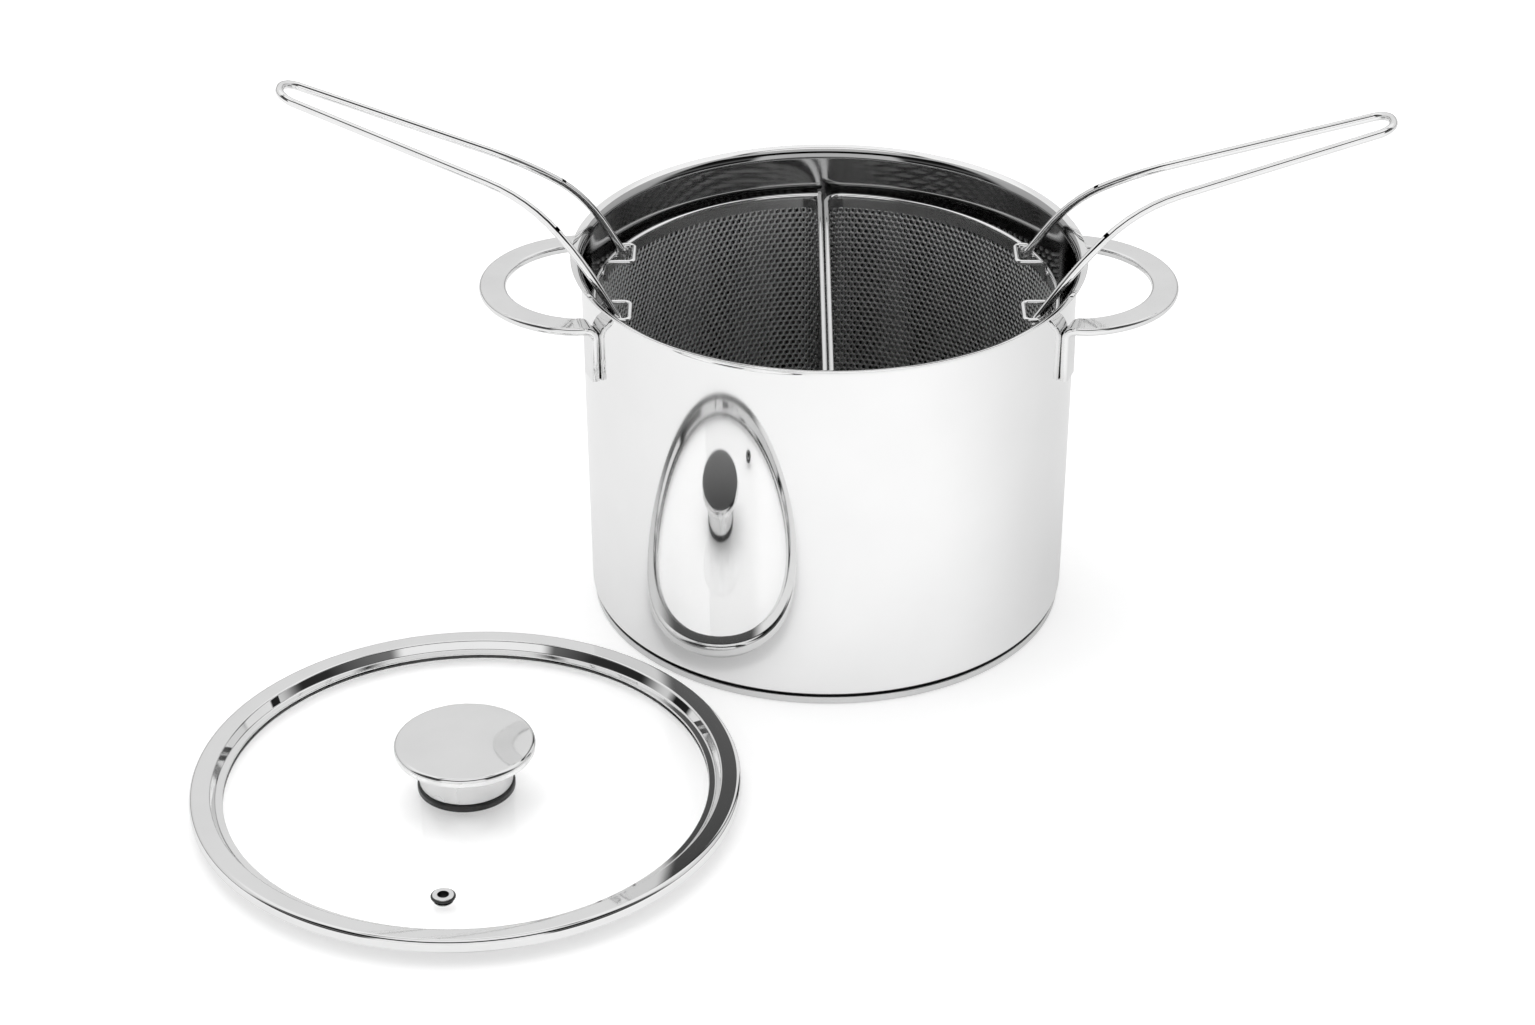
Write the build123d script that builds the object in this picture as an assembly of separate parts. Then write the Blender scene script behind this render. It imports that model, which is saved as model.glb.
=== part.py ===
from build123d import *
import os
from math import acos, asin, atan2, cos, degrees, hypot, pi, radians, sin, sqrt, tan

# A 24 cm pasta pot with two half-moon perforated baskets and a glass lid, in millimetres.
# The pot stands on z = 0 with its axis on the origin. x runs from pot handle to pot handle,
# y runs away from the viewer, and the lid lies on the same surface, in front and to the left.
# Each piece is drawn by its own function and written as a node of its own at the end.

os.makedirs("parts", exist_ok=True)

# Clearance between pieces that move against each other, and the overrun of every cut
running_gap = 0.3
overrun = 1.0

# Pot body: drawn from one sheet, with a wall that opens slightly and a flared lip
pot_rim_radius = 125.0
pot_height = 185.0
pot_sheet = 0.9
wall_top_radius = 120.0
wall_foot_radius = 118.0
foot_bevel = 3.0
lip_bend_radius = 5.0
lip_rise_degrees = 19.3

# Base: an aluminium disc under the pot, closed in by a steel dish
base_core_thickness = 3.4
base_cap_sheet = 0.6
base_cap_radius = 116.8
base_cap_height = 3.2
base_cap_bevel = 1.2

# Pot handles: a flat bar bent to a loop, whose ends turn down and lie on the wall
handle_bar_width = 13.0
handle_bar_thickness = 4.0
handle_loop_radius = 46.0
handle_reach = 169.5
handle_drop = 16.0
handle_tab_length = 29.0
handle_bend_radius = 5.0
handle_bracket_run = 1.0

# Baskets: half-moons that stand side by side in the pot, set slightly off its axis
basket_shift = -1.4
basket_radius = 112.5
basket_wire = 2.6
basket_wire_gap = 0.7
basket_corner_radius = 8.0
basket_rim_drop = 23.0
basket_sheet = 0.6
basket_wire_stub = 2.5
tray_edge_height = 9.0
tray_bevel = 3.0

# Perforation: staggered square holes, each in place of a group of fine punched ones
hole_side = 13.0
hole_pitch = 32.0
hole_margin = 7.0

# Ears: wire staples that stand up inside the rim wire, open towards it
ear_rise = 6.1
ear_reach = 94.0
ear_inner_side = 21.7
ear_outer_side = 41.0
ear_bevel = 2.0
ear_leg_length = 10.0

# Wire handles: a hairpin on two turned-out feet, which narrows at its shoulders, bends
# down there and again at its knee, and leans just clear of the pot's lip
hairpin_wire = 4.0
hairpin_pivot_reach = 98.3
hairpin_lip_gap = 2.5
hairpin_foot_side = 44.0
hairpin_leg_side = 36.0
hairpin_shoulder_side = 34.6
hairpin_knee_side = 19.0
hairpin_tip_side = 9.3
hairpin_leg_length = 37.0
hairpin_shoulder_length = 35.0
hairpin_outer_length = 126.0
hairpin_shoulder_degrees = 17.5
hairpin_knee_degrees = 21.0
hairpin_foot_bend = 4.0
hairpin_shoulder_bend = 20.0
hairpin_knee_bend = 24.0
hairpin_tip_bend = 9.0

# Every wire is drawn with this count of flats in place of a round section
wire_flat_count = 8

# Lid: flat glass held in a rolled steel rim, lying on the surface that the pot stands on
lid_centre_x = -168.0
lid_centre_y = -196.0
lid_sheet = 0.8
lid_outer_radius = 126.5
lid_flange_width = 9.5
lid_skirt_drop = 3.2
lid_ledge_width = 5.7
lid_slope_run = 2.4
lid_flange_rise = 5.0
lid_lip_drop = 5.6
lid_lip_bevel = 1.2
glass_thickness = 4.0
glass_edge_gap = 0.5

# Vent: a crimped steel tube with a black ring under its upper flange
vent_offset_x = -4.0
vent_ledge_distance = 24.6
vent_bore_radius = 2.5
vent_tube_wall = 0.6
vent_flange_radius = 4.85
vent_crimp_radius = 4.4
vent_gasket_radius = 5.6
vent_gasket_thickness = 0.8
vent_hole_gap = 0.3

# Knob: a wide cap on a drum, clamped from below by a screw through the glass
knob_cap_radius = 32.4
knob_cap_thickness = 5.0
knob_cap_bevel = 1.4
knob_stem_radius = 21.5
knob_stem_height = 16.4
knob_stem_wall = 1.2
knob_gasket_radius = 22.5
knob_gasket_thickness = 3.3
knob_boss_radius = 6.0
screw_radius = 2.5
screw_head_radius = 5.5
screw_head_height = 2.0
screw_engagement = 9.0
glass_washer_radius = 10.0
glass_washer_thickness = 1.0
screw_washer_radius = 8.0
screw_washer_thickness = 0.8

# Angle of half a turn, in degrees
half_turn = 180

# Places that follow from the sizes above
pot_floor_underside = base_cap_sheet + base_core_thickness
pot_floor_top = pot_floor_underside + pot_sheet
handle_top_height = pot_height - handle_drop
handle_tab_foot_height = handle_top_height - handle_tab_length
wire_radius = basket_wire / 2
hairpin_radius = hairpin_wire / 2
basket_flat = basket_wire_gap / 2 + wire_radius
basket_underside = pot_floor_top + running_gap
basket_rim_height = pot_height - basket_rim_drop
basket_wall_top = basket_rim_height - wire_radius
ear_leg_reach = basket_radius - basket_wire
ear_top_height = basket_rim_height + ear_rise
hairpin_pivot_height = ear_top_height - wire_radius - running_gap - hairpin_radius
lip_end_radius = pot_rim_radius - pot_sheet / 2 * sin(radians(lip_rise_degrees))
lip_end_height = pot_height - pot_sheet / 2 * cos(radians(lip_rise_degrees))
neck_height = lip_end_height - (lip_end_radius - wall_top_radius) * tan(radians(lip_rise_degrees))
lid_skirt_radius = lid_outer_radius - lid_flange_width
lid_slope_foot_radius = lid_skirt_radius - lid_slope_run
lid_ledge_radius = lid_skirt_radius - lid_ledge_width
vent_offset_y = vent_ledge_distance - lid_ledge_radius
glass_underside = lid_skirt_drop + lid_sheet
glass_top = glass_underside + glass_thickness
lid_flange_top = glass_top + lid_flange_rise
knob_stem_foot = glass_top + knob_gasket_thickness
knob_cap_foot = knob_stem_foot + knob_stem_height
lid_place = Pos(lid_centre_x, lid_centre_y, 0)


def sheet_section(corners, bends, sheet):
    """Face of a bent sheet, from the corners of its mid-line and the mid-line radius of each bend."""
    points = [Vector(*corner) for corner in corners]
    runs = [(end - start).normalized() for start, end in zip(points, points[1:])]
    normals = [Vector(-run.Y, run.X) for run in runs]
    half = sheet / 2
    sides = []
    for side in (half, -half):
        outline = [points[0] + normals[0] * side]
        radii = []
        for index, bend in enumerate(bends):
            before, after = normals[index], normals[index + 1]
            mitre = (before + after) / (1 + before.dot(after))
            outline.append(points[index + 1] + mitre * side)
            turns_left = runs[index].cross(runs[index + 1]).Z > 0
            radii.append(bend and bend - (side if turns_left else -side))
        outline.append(points[-1] + normals[-1] * side)
        sides.append(FilletPolyline(*outline, radius=radii) if bends else Line(*outline))
    left, right = sides
    ends = [Line(left @ 0, right @ 0), Line(left @ 1, right @ 1)]
    return make_face(left.edges() + right.edges() + ends)


def turned(section):
    """Solid of revolution about the z axis from a section drawn in radius and height."""
    return revolve(Plane.XZ * section, Axis.Z)


def turned_outline(*points):
    """Solid of revolution about the z axis from the corners of a closed section."""
    return turned(make_face(Polyline(*points, close=True)))


def disc(radius, bottom, top, bore=0):
    """Flat disc between two heights, with a round hole through it where a bore is given."""
    return turned_outline((bore, bottom), (radius, bottom), (radius, top), (bore, top))


def wall_radius(height):
    """Outer radius of the pot's wall at a height."""
    run = (height - pot_floor_underside) / (neck_height - pot_floor_underside)
    return wall_foot_radius + (wall_top_radius - wall_foot_radius) * run


def pot_body():
    """Drawn pot: floor, bevelled foot, wall and flared lip in one sheet."""
    half = pot_sheet / 2
    floor = pot_floor_underside + half
    corners = [
        (0, floor),
        (wall_radius(floor) - half - foot_bevel, floor),
        (wall_radius(floor + foot_bevel) - half, floor + foot_bevel),
        (wall_radius(neck_height) - half, neck_height),
        (lip_end_radius, lip_end_height),
    ]
    return turned(sheet_section(corners, [0, 0, lip_bend_radius], pot_sheet))


def base_core():
    """Aluminium disc between the pot's floor and the base cap."""
    return disc(base_cap_radius - base_cap_sheet, base_cap_sheet, pot_floor_underside)


def base_cap():
    """Steel dish under the core, with a bevelled edge."""
    inner = base_cap_radius - base_cap_sheet
    return turned_outline(
        (0, 0),
        (base_cap_radius - base_cap_bevel, 0),
        (base_cap_radius, base_cap_bevel),
        (base_cap_radius, base_cap_height),
        (inner, base_cap_height),
        (inner, base_cap_sheet),
        (0, base_cap_sheet),
    )


def pot_handle():
    """Flat loop on the x side: a half ring, two arms, and two ends turned down onto the wall."""
    half_width = handle_bar_width / 2
    mid_height = handle_top_height - handle_bar_thickness / 2
    tab_middle = wall_radius(handle_tab_foot_height) + handle_bar_thickness / 2
    joint = tab_middle + handle_bend_radius + handle_bracket_run
    loop_centre = handle_reach - half_width - handle_loop_radius
    joint_across = (joint**2 + loop_centre**2 - handle_loop_radius**2) / (2 * loop_centre)
    tab_angle = degrees(acos(joint_across / joint))
    ring = Pos(loop_centre, 0) * (
        Circle(handle_loop_radius + half_width) - Circle(handle_loop_radius - half_width)
    )
    outer_part = Pos(joint_across + handle_reach / 2, 0) * Rectangle(handle_reach, handle_reach)
    plate = extrude(ring & outer_part, handle_bar_thickness)
    bracket_corners = [
        (joint, mid_height),
        (tab_middle, mid_height),
        (tab_middle, handle_tab_foot_height),
    ]
    section = sheet_section(bracket_corners, [handle_bend_radius], handle_bar_thickness)
    bracket = extrude(Plane.XZ * section, half_width, both=True)
    bracket -= pot_body()
    knuckle = Pos(joint, 0, 0) * extrude(Circle(half_width), handle_bar_thickness)
    bottom = Pos(0, 0, handle_top_height - handle_bar_thickness)
    loop = bottom * plate
    for side in (tab_angle, -tab_angle):
        loop += Rot(0, 0, side) * bracket
        loop += bottom * Rot(0, 0, side) * knuckle
    return loop


def half_moon_corner(radius, flat, corner):
    """Centre of the rounded corner on the +y side, and its direction seen from the axis."""
    centre = Vector(flat + corner, sqrt((radius - corner) ** 2 - (flat + corner) ** 2))
    return centre, atan2(centre.Y, centre.X)


def half_moon(radius, flat, corner):
    """Closed outline of a half-moon on the +x side, with rounded corners at its flat side."""
    centre, heading = half_moon_corner(radius, flat, corner)
    middle = (heading + pi) / 2
    halfway = centre + Vector(cos(middle), sin(middle)) * corner
    arc_end = Vector(cos(heading), sin(heading)) * radius
    flat_end = Vector(flat, centre.Y)
    mirrored = [Vector(point.X, -point.Y) for point in (flat_end, halfway, arc_end)]
    return make_face(
        [
            Line(mirrored[0], flat_end),
            ThreePointArc(flat_end, halfway, arc_end),
            ThreePointArc(arc_end, (radius, 0), mirrored[2]),
            ThreePointArc(mirrored[2], mirrored[1], mirrored[0]),
        ]
    )


def basket_outline(inset):
    """Half-moon that lies the inset inside the mid-line of the basket's rim."""
    return half_moon(basket_radius - inset, basket_flat + inset, basket_corner_radius - inset)


def hole_rows(width, height):
    """Centres of staggered holes in a rectangle about the origin."""
    row_pitch = hole_pitch * sin(pi / 3)
    rows = int((height - hole_side) / row_pitch) + 1
    centres = []
    for row in range(rows):
        stagger = row % 2
        columns = int((width - hole_side) / hole_pitch) + 1 - stagger
        level = (row - (rows - 1) / 2) * row_pitch
        centres += [((column - (columns - 1) / 2) * hole_pitch, level) for column in range(columns)]
    return centres


def punch(thickness):
    """Prism that cuts one hole, along x."""
    blank = extrude(Rectangle(hole_side, hole_side), thickness, both=True)
    return Rot(0, 90, 0) * blank


def basket_wall():
    """Perforated sheet: a flat side and a curved side from the floor to the rim wire."""
    half = basket_sheet / 2
    wall_foot = basket_underside + tray_bevel
    height = basket_wall_top - wall_foot
    ring = extrude(basket_outline(-half), height) - extrude(basket_outline(half), height)
    wall = Pos(0, 0, wall_foot) * ring
    lowest = basket_underside + tray_edge_height + hole_margin
    highest = basket_wall_top - hole_margin
    level = (lowest + highest) / 2
    centre, heading = half_moon_corner(basket_radius, basket_flat, basket_corner_radius)
    tool = punch(overrun)
    flat_width = 2 * (centre.Y - hole_margin)
    arc_width = 2 * (basket_radius * heading - hole_margin)
    cuts = [
        Pos(basket_flat, across, level + up) * tool
        for across, up in hole_rows(flat_width, highest - lowest)
    ]
    cuts += [
        Rot(0, 0, degrees(along / basket_radius)) * Pos(basket_radius, 0, level + up) * tool
        for along, up in hole_rows(arc_width, highest - lowest)
    ]
    return wall - cuts


def bevelled_tray(outline, height):
    """Solid of an outline's height with its lower edge bevelled."""
    block = extrude(outline, height)
    return chamfer(block.faces().sort_by(Axis.Z)[0].edges(), tray_bevel)


def basket_floor():
    """Perforated tray inside the foot of the wall, with its edge turned up."""
    outside = bevelled_tray(basket_outline(basket_sheet / 2), tray_edge_height)
    inside = bevelled_tray(basket_outline(basket_sheet * 3 / 2), tray_edge_height)
    tray = outside - Pos(0, 0, basket_sheet) * inside
    room = basket_radius - basket_flat - basket_sheet
    reach = basket_radius - hole_margin - hole_side / 2
    nearest = basket_flat + hole_margin + hole_side / 2
    middle = basket_flat + room / 2
    tool = Rot(0, 90, 0) * punch(overrun)
    cuts = [
        Pos(middle + along, across, 0) * tool
        for across, along in hole_rows(2 * reach, room)
        if hypot(middle + along, across) < reach and middle + along > nearest
    ]
    return Pos(0, 0, basket_underside) * (tray - cuts)


def tube(path, radius, transition=Transition.TRANSFORMED):
    """Wire of a radius along a path, with its flats square to the path's plane."""
    heading = path % 0
    across = Vector(1, 0, 0) if abs(heading.Z) > abs(heading.Y) else Vector(0, 0, 1)
    start = Plane(origin=path @ 0, x_dir=across, z_dir=heading)
    turn = Rot(0, 0, half_turn / wire_flat_count)
    section = turn * RegularPolygon(radius, wire_flat_count, major_radius=False)
    return sweep(start * section, path=path, transition=transition)


def basket_rim_wire():
    """Wire bent to a half-moon: one rounded corner, and one where it butts against its own start."""
    centre, heading = half_moon_corner(basket_radius, basket_flat, basket_corner_radius)
    middle = (heading + pi) / 2
    halfway = centre + Vector(cos(middle), sin(middle)) * basket_corner_radius
    arc_end = Vector(cos(heading), sin(heading)) * basket_radius
    butt_height = -sqrt(basket_radius**2 - basket_flat**2)
    stub_end = Vector(basket_flat, butt_height - basket_wire_stub)
    flat_end = Vector(basket_flat, centre.Y)
    bent = Line(stub_end, flat_end) + ThreePointArc(flat_end, halfway, arc_end)
    around = ThreePointArc(arc_end, (basket_radius, 0), (basket_flat, butt_height))
    wire = tube(Wire(bent.edges()), wire_radius) + tube(Wire([around]), wire_radius)
    return Pos(0, 0, basket_rim_height) * wire


def basket_ear():
    """Staple on the +y side: two bars towards the rim, joined by one along y, with legs down the wall."""
    foot = ear_top_height - ear_leg_length
    bend = ear_top_height - ear_bevel
    inner_rim = sqrt(ear_leg_reach**2 - ear_inner_side**2)
    outer_rim = sqrt(ear_leg_reach**2 - ear_outer_side**2)
    path = Polyline(
        (inner_rim, ear_inner_side, foot),
        (inner_rim, ear_inner_side, bend),
        (inner_rim - ear_bevel, ear_inner_side, ear_top_height),
        (ear_reach + ear_bevel, ear_inner_side, ear_top_height),
        (ear_reach, ear_inner_side + ear_bevel, ear_top_height),
        (ear_reach, ear_outer_side - ear_bevel, ear_top_height),
        (ear_reach + ear_bevel, ear_outer_side, ear_top_height),
        (outer_rim - ear_bevel, ear_outer_side, ear_top_height),
        (outer_rim, ear_outer_side, bend),
        (outer_rim, ear_outer_side, foot),
    )
    return tube(path, wire_radius, Transition.RIGHT)


def hairpin_lean(shift):
    """Angle above the horizontal at which the hairpin's legs stand just clear of the lip's bend."""
    lip_turn = radians(half_turn / 2 - lip_rise_degrees)
    bend_height = neck_height - lip_bend_radius * tan(lip_turn / 2)
    bend_radius = wall_top_radius - pot_sheet / 2 + lip_bend_radius
    across = sqrt(bend_radius**2 - hairpin_leg_side**2) - hairpin_pivot_reach - shift
    up = bend_height - hairpin_pivot_height
    standoff = hairpin_radius + hairpin_lip_gap + lip_bend_radius + pot_sheet / 2
    return degrees(atan2(up, across) + asin(standoff / hypot(across, up)))


def basket_handle(lean):
    """Hairpin on its two feet, leaning outwards by an angle above the horizontal."""
    shoulder = radians(hairpin_shoulder_degrees)
    knee = shoulder + radians(hairpin_knee_degrees)
    knee_reach = hairpin_leg_length + hairpin_shoulder_length * cos(shoulder)
    knee_drop = -hairpin_shoulder_length * sin(shoulder)
    tip_reach = knee_reach + hairpin_outer_length * cos(knee)
    tip_drop = knee_drop - hairpin_outer_length * sin(knee)
    one_side = [
        (0, hairpin_foot_side, 0),
        (0, hairpin_leg_side, 0),
        (hairpin_leg_length, hairpin_shoulder_side, 0),
        (knee_reach, hairpin_knee_side, knee_drop),
        (tip_reach, hairpin_tip_side, tip_drop),
    ]
    bends = [hairpin_foot_bend, hairpin_shoulder_bend, hairpin_knee_bend, hairpin_tip_bend]
    other_side = [(along, -across, up) for along, across, up in reversed(one_side)]
    path = FilletPolyline(*one_side, *other_side, radius=bends + bends[::-1])
    pivot = Pos(hairpin_pivot_reach, 0, hairpin_pivot_height)
    return pivot * Rot(0, -lean, 0) * tube(path, hairpin_radius)


def lid_glass():
    """Flat glass disc with a hole for the knob's screw and one for the vent."""
    glass_radius = lid_skirt_radius - lid_sheet - glass_edge_gap
    glass = disc(glass_radius, glass_underside, glass_top, screw_radius + vent_hole_gap)
    vent_hole = vent_bore_radius + vent_tube_wall + vent_hole_gap
    drill = extrude(Circle(vent_hole), glass_top + overrun)
    return glass - Pos(vent_offset_x, vent_offset_y, 0) * drill


def lid_rim():
    """Rolled rim: skirt, flange with a turned-down lip, and two ledges that hold the glass."""
    flange_underside = lid_flange_top - lid_sheet
    lip_foot = lid_flange_top - lid_lip_drop
    inner = lid_skirt_radius - lid_sheet
    return turned_outline(
        (inner, 0),
        (lid_skirt_radius, 0),
        (lid_skirt_radius, flange_underside),
        (lid_outer_radius - lid_sheet, flange_underside),
        (lid_outer_radius - lid_sheet, lip_foot),
        (lid_outer_radius, lip_foot),
        (lid_outer_radius, lid_flange_top - lid_lip_bevel),
        (lid_outer_radius - lid_lip_bevel, lid_flange_top),
        (lid_skirt_radius, lid_flange_top),
        (lid_slope_foot_radius, glass_top + lid_sheet),
        (lid_ledge_radius, glass_top + lid_sheet),
        (lid_ledge_radius, glass_top),
        (inner, glass_top),
        (inner, glass_underside),
        (lid_ledge_radius, glass_underside),
        (lid_ledge_radius, lid_skirt_drop),
        (inner, lid_skirt_drop),
    )


def vent_grommet():
    """Steel tube through the glass, flanged above its gasket and crimped under the glass."""
    tube_radius = vent_bore_radius + vent_tube_wall
    flange_foot = glass_top + vent_gasket_thickness
    return Pos(vent_offset_x, vent_offset_y, 0) * turned_outline(
        (vent_bore_radius, glass_underside - vent_tube_wall),
        (vent_crimp_radius, glass_underside - vent_tube_wall),
        (vent_crimp_radius, glass_underside),
        (tube_radius, glass_underside),
        (tube_radius, flange_foot),
        (vent_flange_radius, flange_foot),
        (vent_flange_radius - vent_tube_wall, flange_foot + vent_tube_wall),
        (vent_bore_radius, flange_foot + vent_tube_wall),
    )


def vent_gasket():
    """Black ring between the grommet's flange and the glass."""
    bore = vent_bore_radius + vent_tube_wall
    ring = disc(vent_gasket_radius, glass_top, glass_top + vent_gasket_thickness, bore)
    return Pos(vent_offset_x, vent_offset_y, 0) * ring


def knob_cap():
    """Wide steel disc with a flat top and a bevelled upper edge."""
    top = knob_cap_foot + knob_cap_thickness
    return turned_outline(
        (0, knob_cap_foot),
        (knob_cap_radius, knob_cap_foot),
        (knob_cap_radius, top - knob_cap_bevel),
        (knob_cap_radius - knob_cap_bevel, top),
        (0, top),
    )


def knob_stem():
    """Steel drum between the gasket and the cap."""
    bore = knob_stem_radius - knob_stem_wall
    return disc(knob_stem_radius, knob_stem_foot, knob_cap_foot, bore)


def knob_boss():
    """Threaded sleeve under the cap, which takes the screw."""
    return disc(knob_boss_radius, knob_stem_foot, knob_cap_foot, screw_radius)


def knob_gasket():
    """Black silicone ring between the knob and the glass."""
    return disc(knob_gasket_radius, glass_top, knob_stem_foot, screw_radius)


def glass_washer():
    """Silicone washer under the glass."""
    return disc(glass_washer_radius, glass_underside - glass_washer_thickness, glass_underside, screw_radius)


def screw_washer():
    """Steel washer under the silicone one."""
    top = glass_underside - glass_washer_thickness
    return disc(screw_washer_radius, top - screw_washer_thickness, top, screw_radius)


def knob_screw():
    """Screw from below: a flat head under the washers and a shank into the boss."""
    head_top = glass_underside - glass_washer_thickness - screw_washer_thickness
    shank_top = knob_stem_foot + screw_engagement
    return turned_outline(
        (0, head_top - screw_head_height),
        (screw_head_radius, head_top - screw_head_height),
        (screw_head_radius, head_top),
        (screw_radius, head_top),
        (screw_radius, shank_top),
        (0, shank_top),
    )


nodes = {
    "pot_body": pot_body(),
    "base_core": base_core(),
    "base_cap": base_cap(),
    "right_pot_handle": pot_handle(),
    "left_pot_handle": Rot(0, 0, 180) * pot_handle(),
}

# The left basket is the right one turned half round, and both are set off by the same shift,
# so their handles lean on the lip at slightly different angles.
basket_pieces = {
    "wall": basket_wall(),
    "floor": basket_floor(),
    "rim_wire": basket_rim_wire(),
    "back_ear": basket_ear(),
    "front_ear": mirror(basket_ear(), Plane.XZ),
}
for side, turn, shift in (("right", 0, basket_shift), ("left", 180, -basket_shift)):
    place = Pos(basket_shift, 0, 0) * Rot(0, 0, turn)
    pieces = dict(basket_pieces, handle=basket_handle(hairpin_lean(shift)))
    for name, piece in pieces.items():
        nodes[f"{side}_basket_{name}"] = place * piece

lid_pieces = {
    "lid_glass": lid_glass(),
    "lid_rim": lid_rim(),
    "vent_grommet": vent_grommet(),
    "vent_gasket": vent_gasket(),
    "knob_cap": knob_cap(),
    "knob_stem": knob_stem(),
    "knob_boss": knob_boss(),
    "knob_gasket": knob_gasket(),
    "glass_washer": glass_washer(),
    "screw_washer": screw_washer(),
    "knob_screw": knob_screw(),
}
for name, piece in lid_pieces.items():
    nodes[name] = lid_place * piece

for name, shape in nodes.items():
    shape.label = name
    export_step(shape, f"parts/{name}.step")
    print(name, round(shape.volume / 1000, 2), "cm3", shape.is_valid)
for side, shift in (("right", basket_shift), ("left", -basket_shift)):
    print(side, "handle leans", round(hairpin_lean(shift), 2), "degrees above the horizontal")
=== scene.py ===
"""A steel pasta pot with two half-moon strainer baskets and a glass lid, dressed for its portrait.

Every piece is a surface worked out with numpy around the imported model, in millimetres, and is
written to its mesh in metres. The pot stands on the floor with its axis on the origin.
"""

import logging
import math
from dataclasses import dataclass, field
from enum import Enum

import bpy
import numpy as np
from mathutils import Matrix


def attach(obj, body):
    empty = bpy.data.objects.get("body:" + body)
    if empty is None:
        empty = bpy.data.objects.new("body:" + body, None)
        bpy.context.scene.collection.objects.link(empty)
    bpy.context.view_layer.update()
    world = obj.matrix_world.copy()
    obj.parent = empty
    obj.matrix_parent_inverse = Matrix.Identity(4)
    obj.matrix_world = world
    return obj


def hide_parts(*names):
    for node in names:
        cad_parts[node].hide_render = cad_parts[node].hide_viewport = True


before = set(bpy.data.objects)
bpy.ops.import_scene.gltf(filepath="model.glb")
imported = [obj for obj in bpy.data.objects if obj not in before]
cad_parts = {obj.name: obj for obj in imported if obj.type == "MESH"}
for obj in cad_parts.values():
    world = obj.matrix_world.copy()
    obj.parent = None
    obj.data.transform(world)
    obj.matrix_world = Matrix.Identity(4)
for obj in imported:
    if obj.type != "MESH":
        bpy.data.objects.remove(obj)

log = logging.getLogger("pasta_pot")
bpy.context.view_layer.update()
METRES_PER_MM = 0.001
FULL_TURN = 2 * math.pi
WHITE = (1.0, 1.0, 1.0, 1.0)

# Axis of the lid, which lies in front of the pot and to its left, across x and y in millimetres
LID_CENTRE = (-168.0, -196.0)

# Two runs of a path that turn less than this, in radians, are one straight run
STRAIGHT = 1e-6

# Steps in the half-round edge of a sheet, and points over the softened edge of a cut wire
EDGE_STEPS = 6
CUT_POINTS = 4

Array = np.ndarray


class Side(Enum):
    """Side of the pot on which a handle or a basket sits: its sign along x and its name."""

    LEFT = -1
    RIGHT = 1

    @property
    def label(self) -> str:
        """Word that the side's pieces carry in their names."""
        return self.name.lower()

    def turned(self, points: Array, shift: float = 0.0) -> Array:
        """Points of the right side, turned half round for the left one, and shifted along x."""
        return points * (self.value, self.value, 1) + (shift, 0, 0)


# Shapes


@dataclass
class Surface:
    """Points in millimetres with the faces over them, which one or more calls add up.

    Attributes:
        points: one array of points for each patch.
        faces: one array of corner numbers for each patch, three or four to a face.
    """

    points: list[Array] = field(default_factory=list)
    faces: list[Array] = field(default_factory=list)

    def add(self, points: Array, *faces: Array) -> None:
        """Add a patch.

        Args:
            points: its points, one to a row.
            faces: arrays of corner numbers, which count from the patch's first point.
        """
        start = sum(len(patch) for patch in self.points)
        self.points.append(np.asarray(points, float))
        self.faces += [np.asarray(group) + start for group in faces]

    def moved(self, offset: tuple[float, float, float]) -> "Surface":
        """The same surface, shifted by an offset."""
        return Surface([patch + offset for patch in self.points], self.faces)

    def turned(self, side: Side, shift: float = 0.0) -> "Surface":
        """The same surface on its side of the pot."""
        return Surface([side.turned(patch, shift) for patch in self.points], self.faces)


def rounded(
    corners: Array | list, radii: Array | list, closed: bool = False, step_degrees: float = 7.0
) -> Array:
    """Path through corners, with an arc at each corner that has a radius.

    The arc starts at the corner less radius times tan(half the turn) along the run before it, and
    its points are start + radius * (sin a * run + (1 - cos a) * inward), with a from 0 to the turn.

    Args:
        corners: corners of the path, in two or three dimensions.
        radii: radius at each corner, without the two ends of an open path.
        closed: whether the path runs back to its first corner.
        step_degrees: largest turn between two points of an arc.

    Returns:
        The points of the path.
    """
    points = np.array(corners, float)
    before = np.roll(points, 1, axis=0)
    after = np.roll(points, -1, axis=0)
    inner = range(len(points)) if closed else range(1, len(points) - 1)
    pieces = [] if closed else [points[:1]]
    for index, radius in zip(inner, radii):
        corner = points[index]
        run = (corner - before[index]) / np.linalg.norm(corner - before[index])
        leave = (after[index] - corner) / np.linalg.norm(after[index] - corner)
        turn = math.acos(np.clip(run @ leave, -1, 1))
        if radius == 0 or turn < STRAIGHT:
            pieces.append(corner[None])
            continue
        inward = (leave - run * math.cos(turn)) / math.sin(turn)
        angles = np.linspace(0, turn, max(2, math.ceil(math.degrees(turn) / step_degrees)) + 1)[:, None]
        start = corner - run * radius * math.tan(turn / 2)
        pieces.append(start + radius * (np.sin(angles) * run + (1 - np.cos(angles)) * inward))
    if not closed:
        pieces.append(points[-1:])
    return np.concatenate(pieces)


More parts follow.
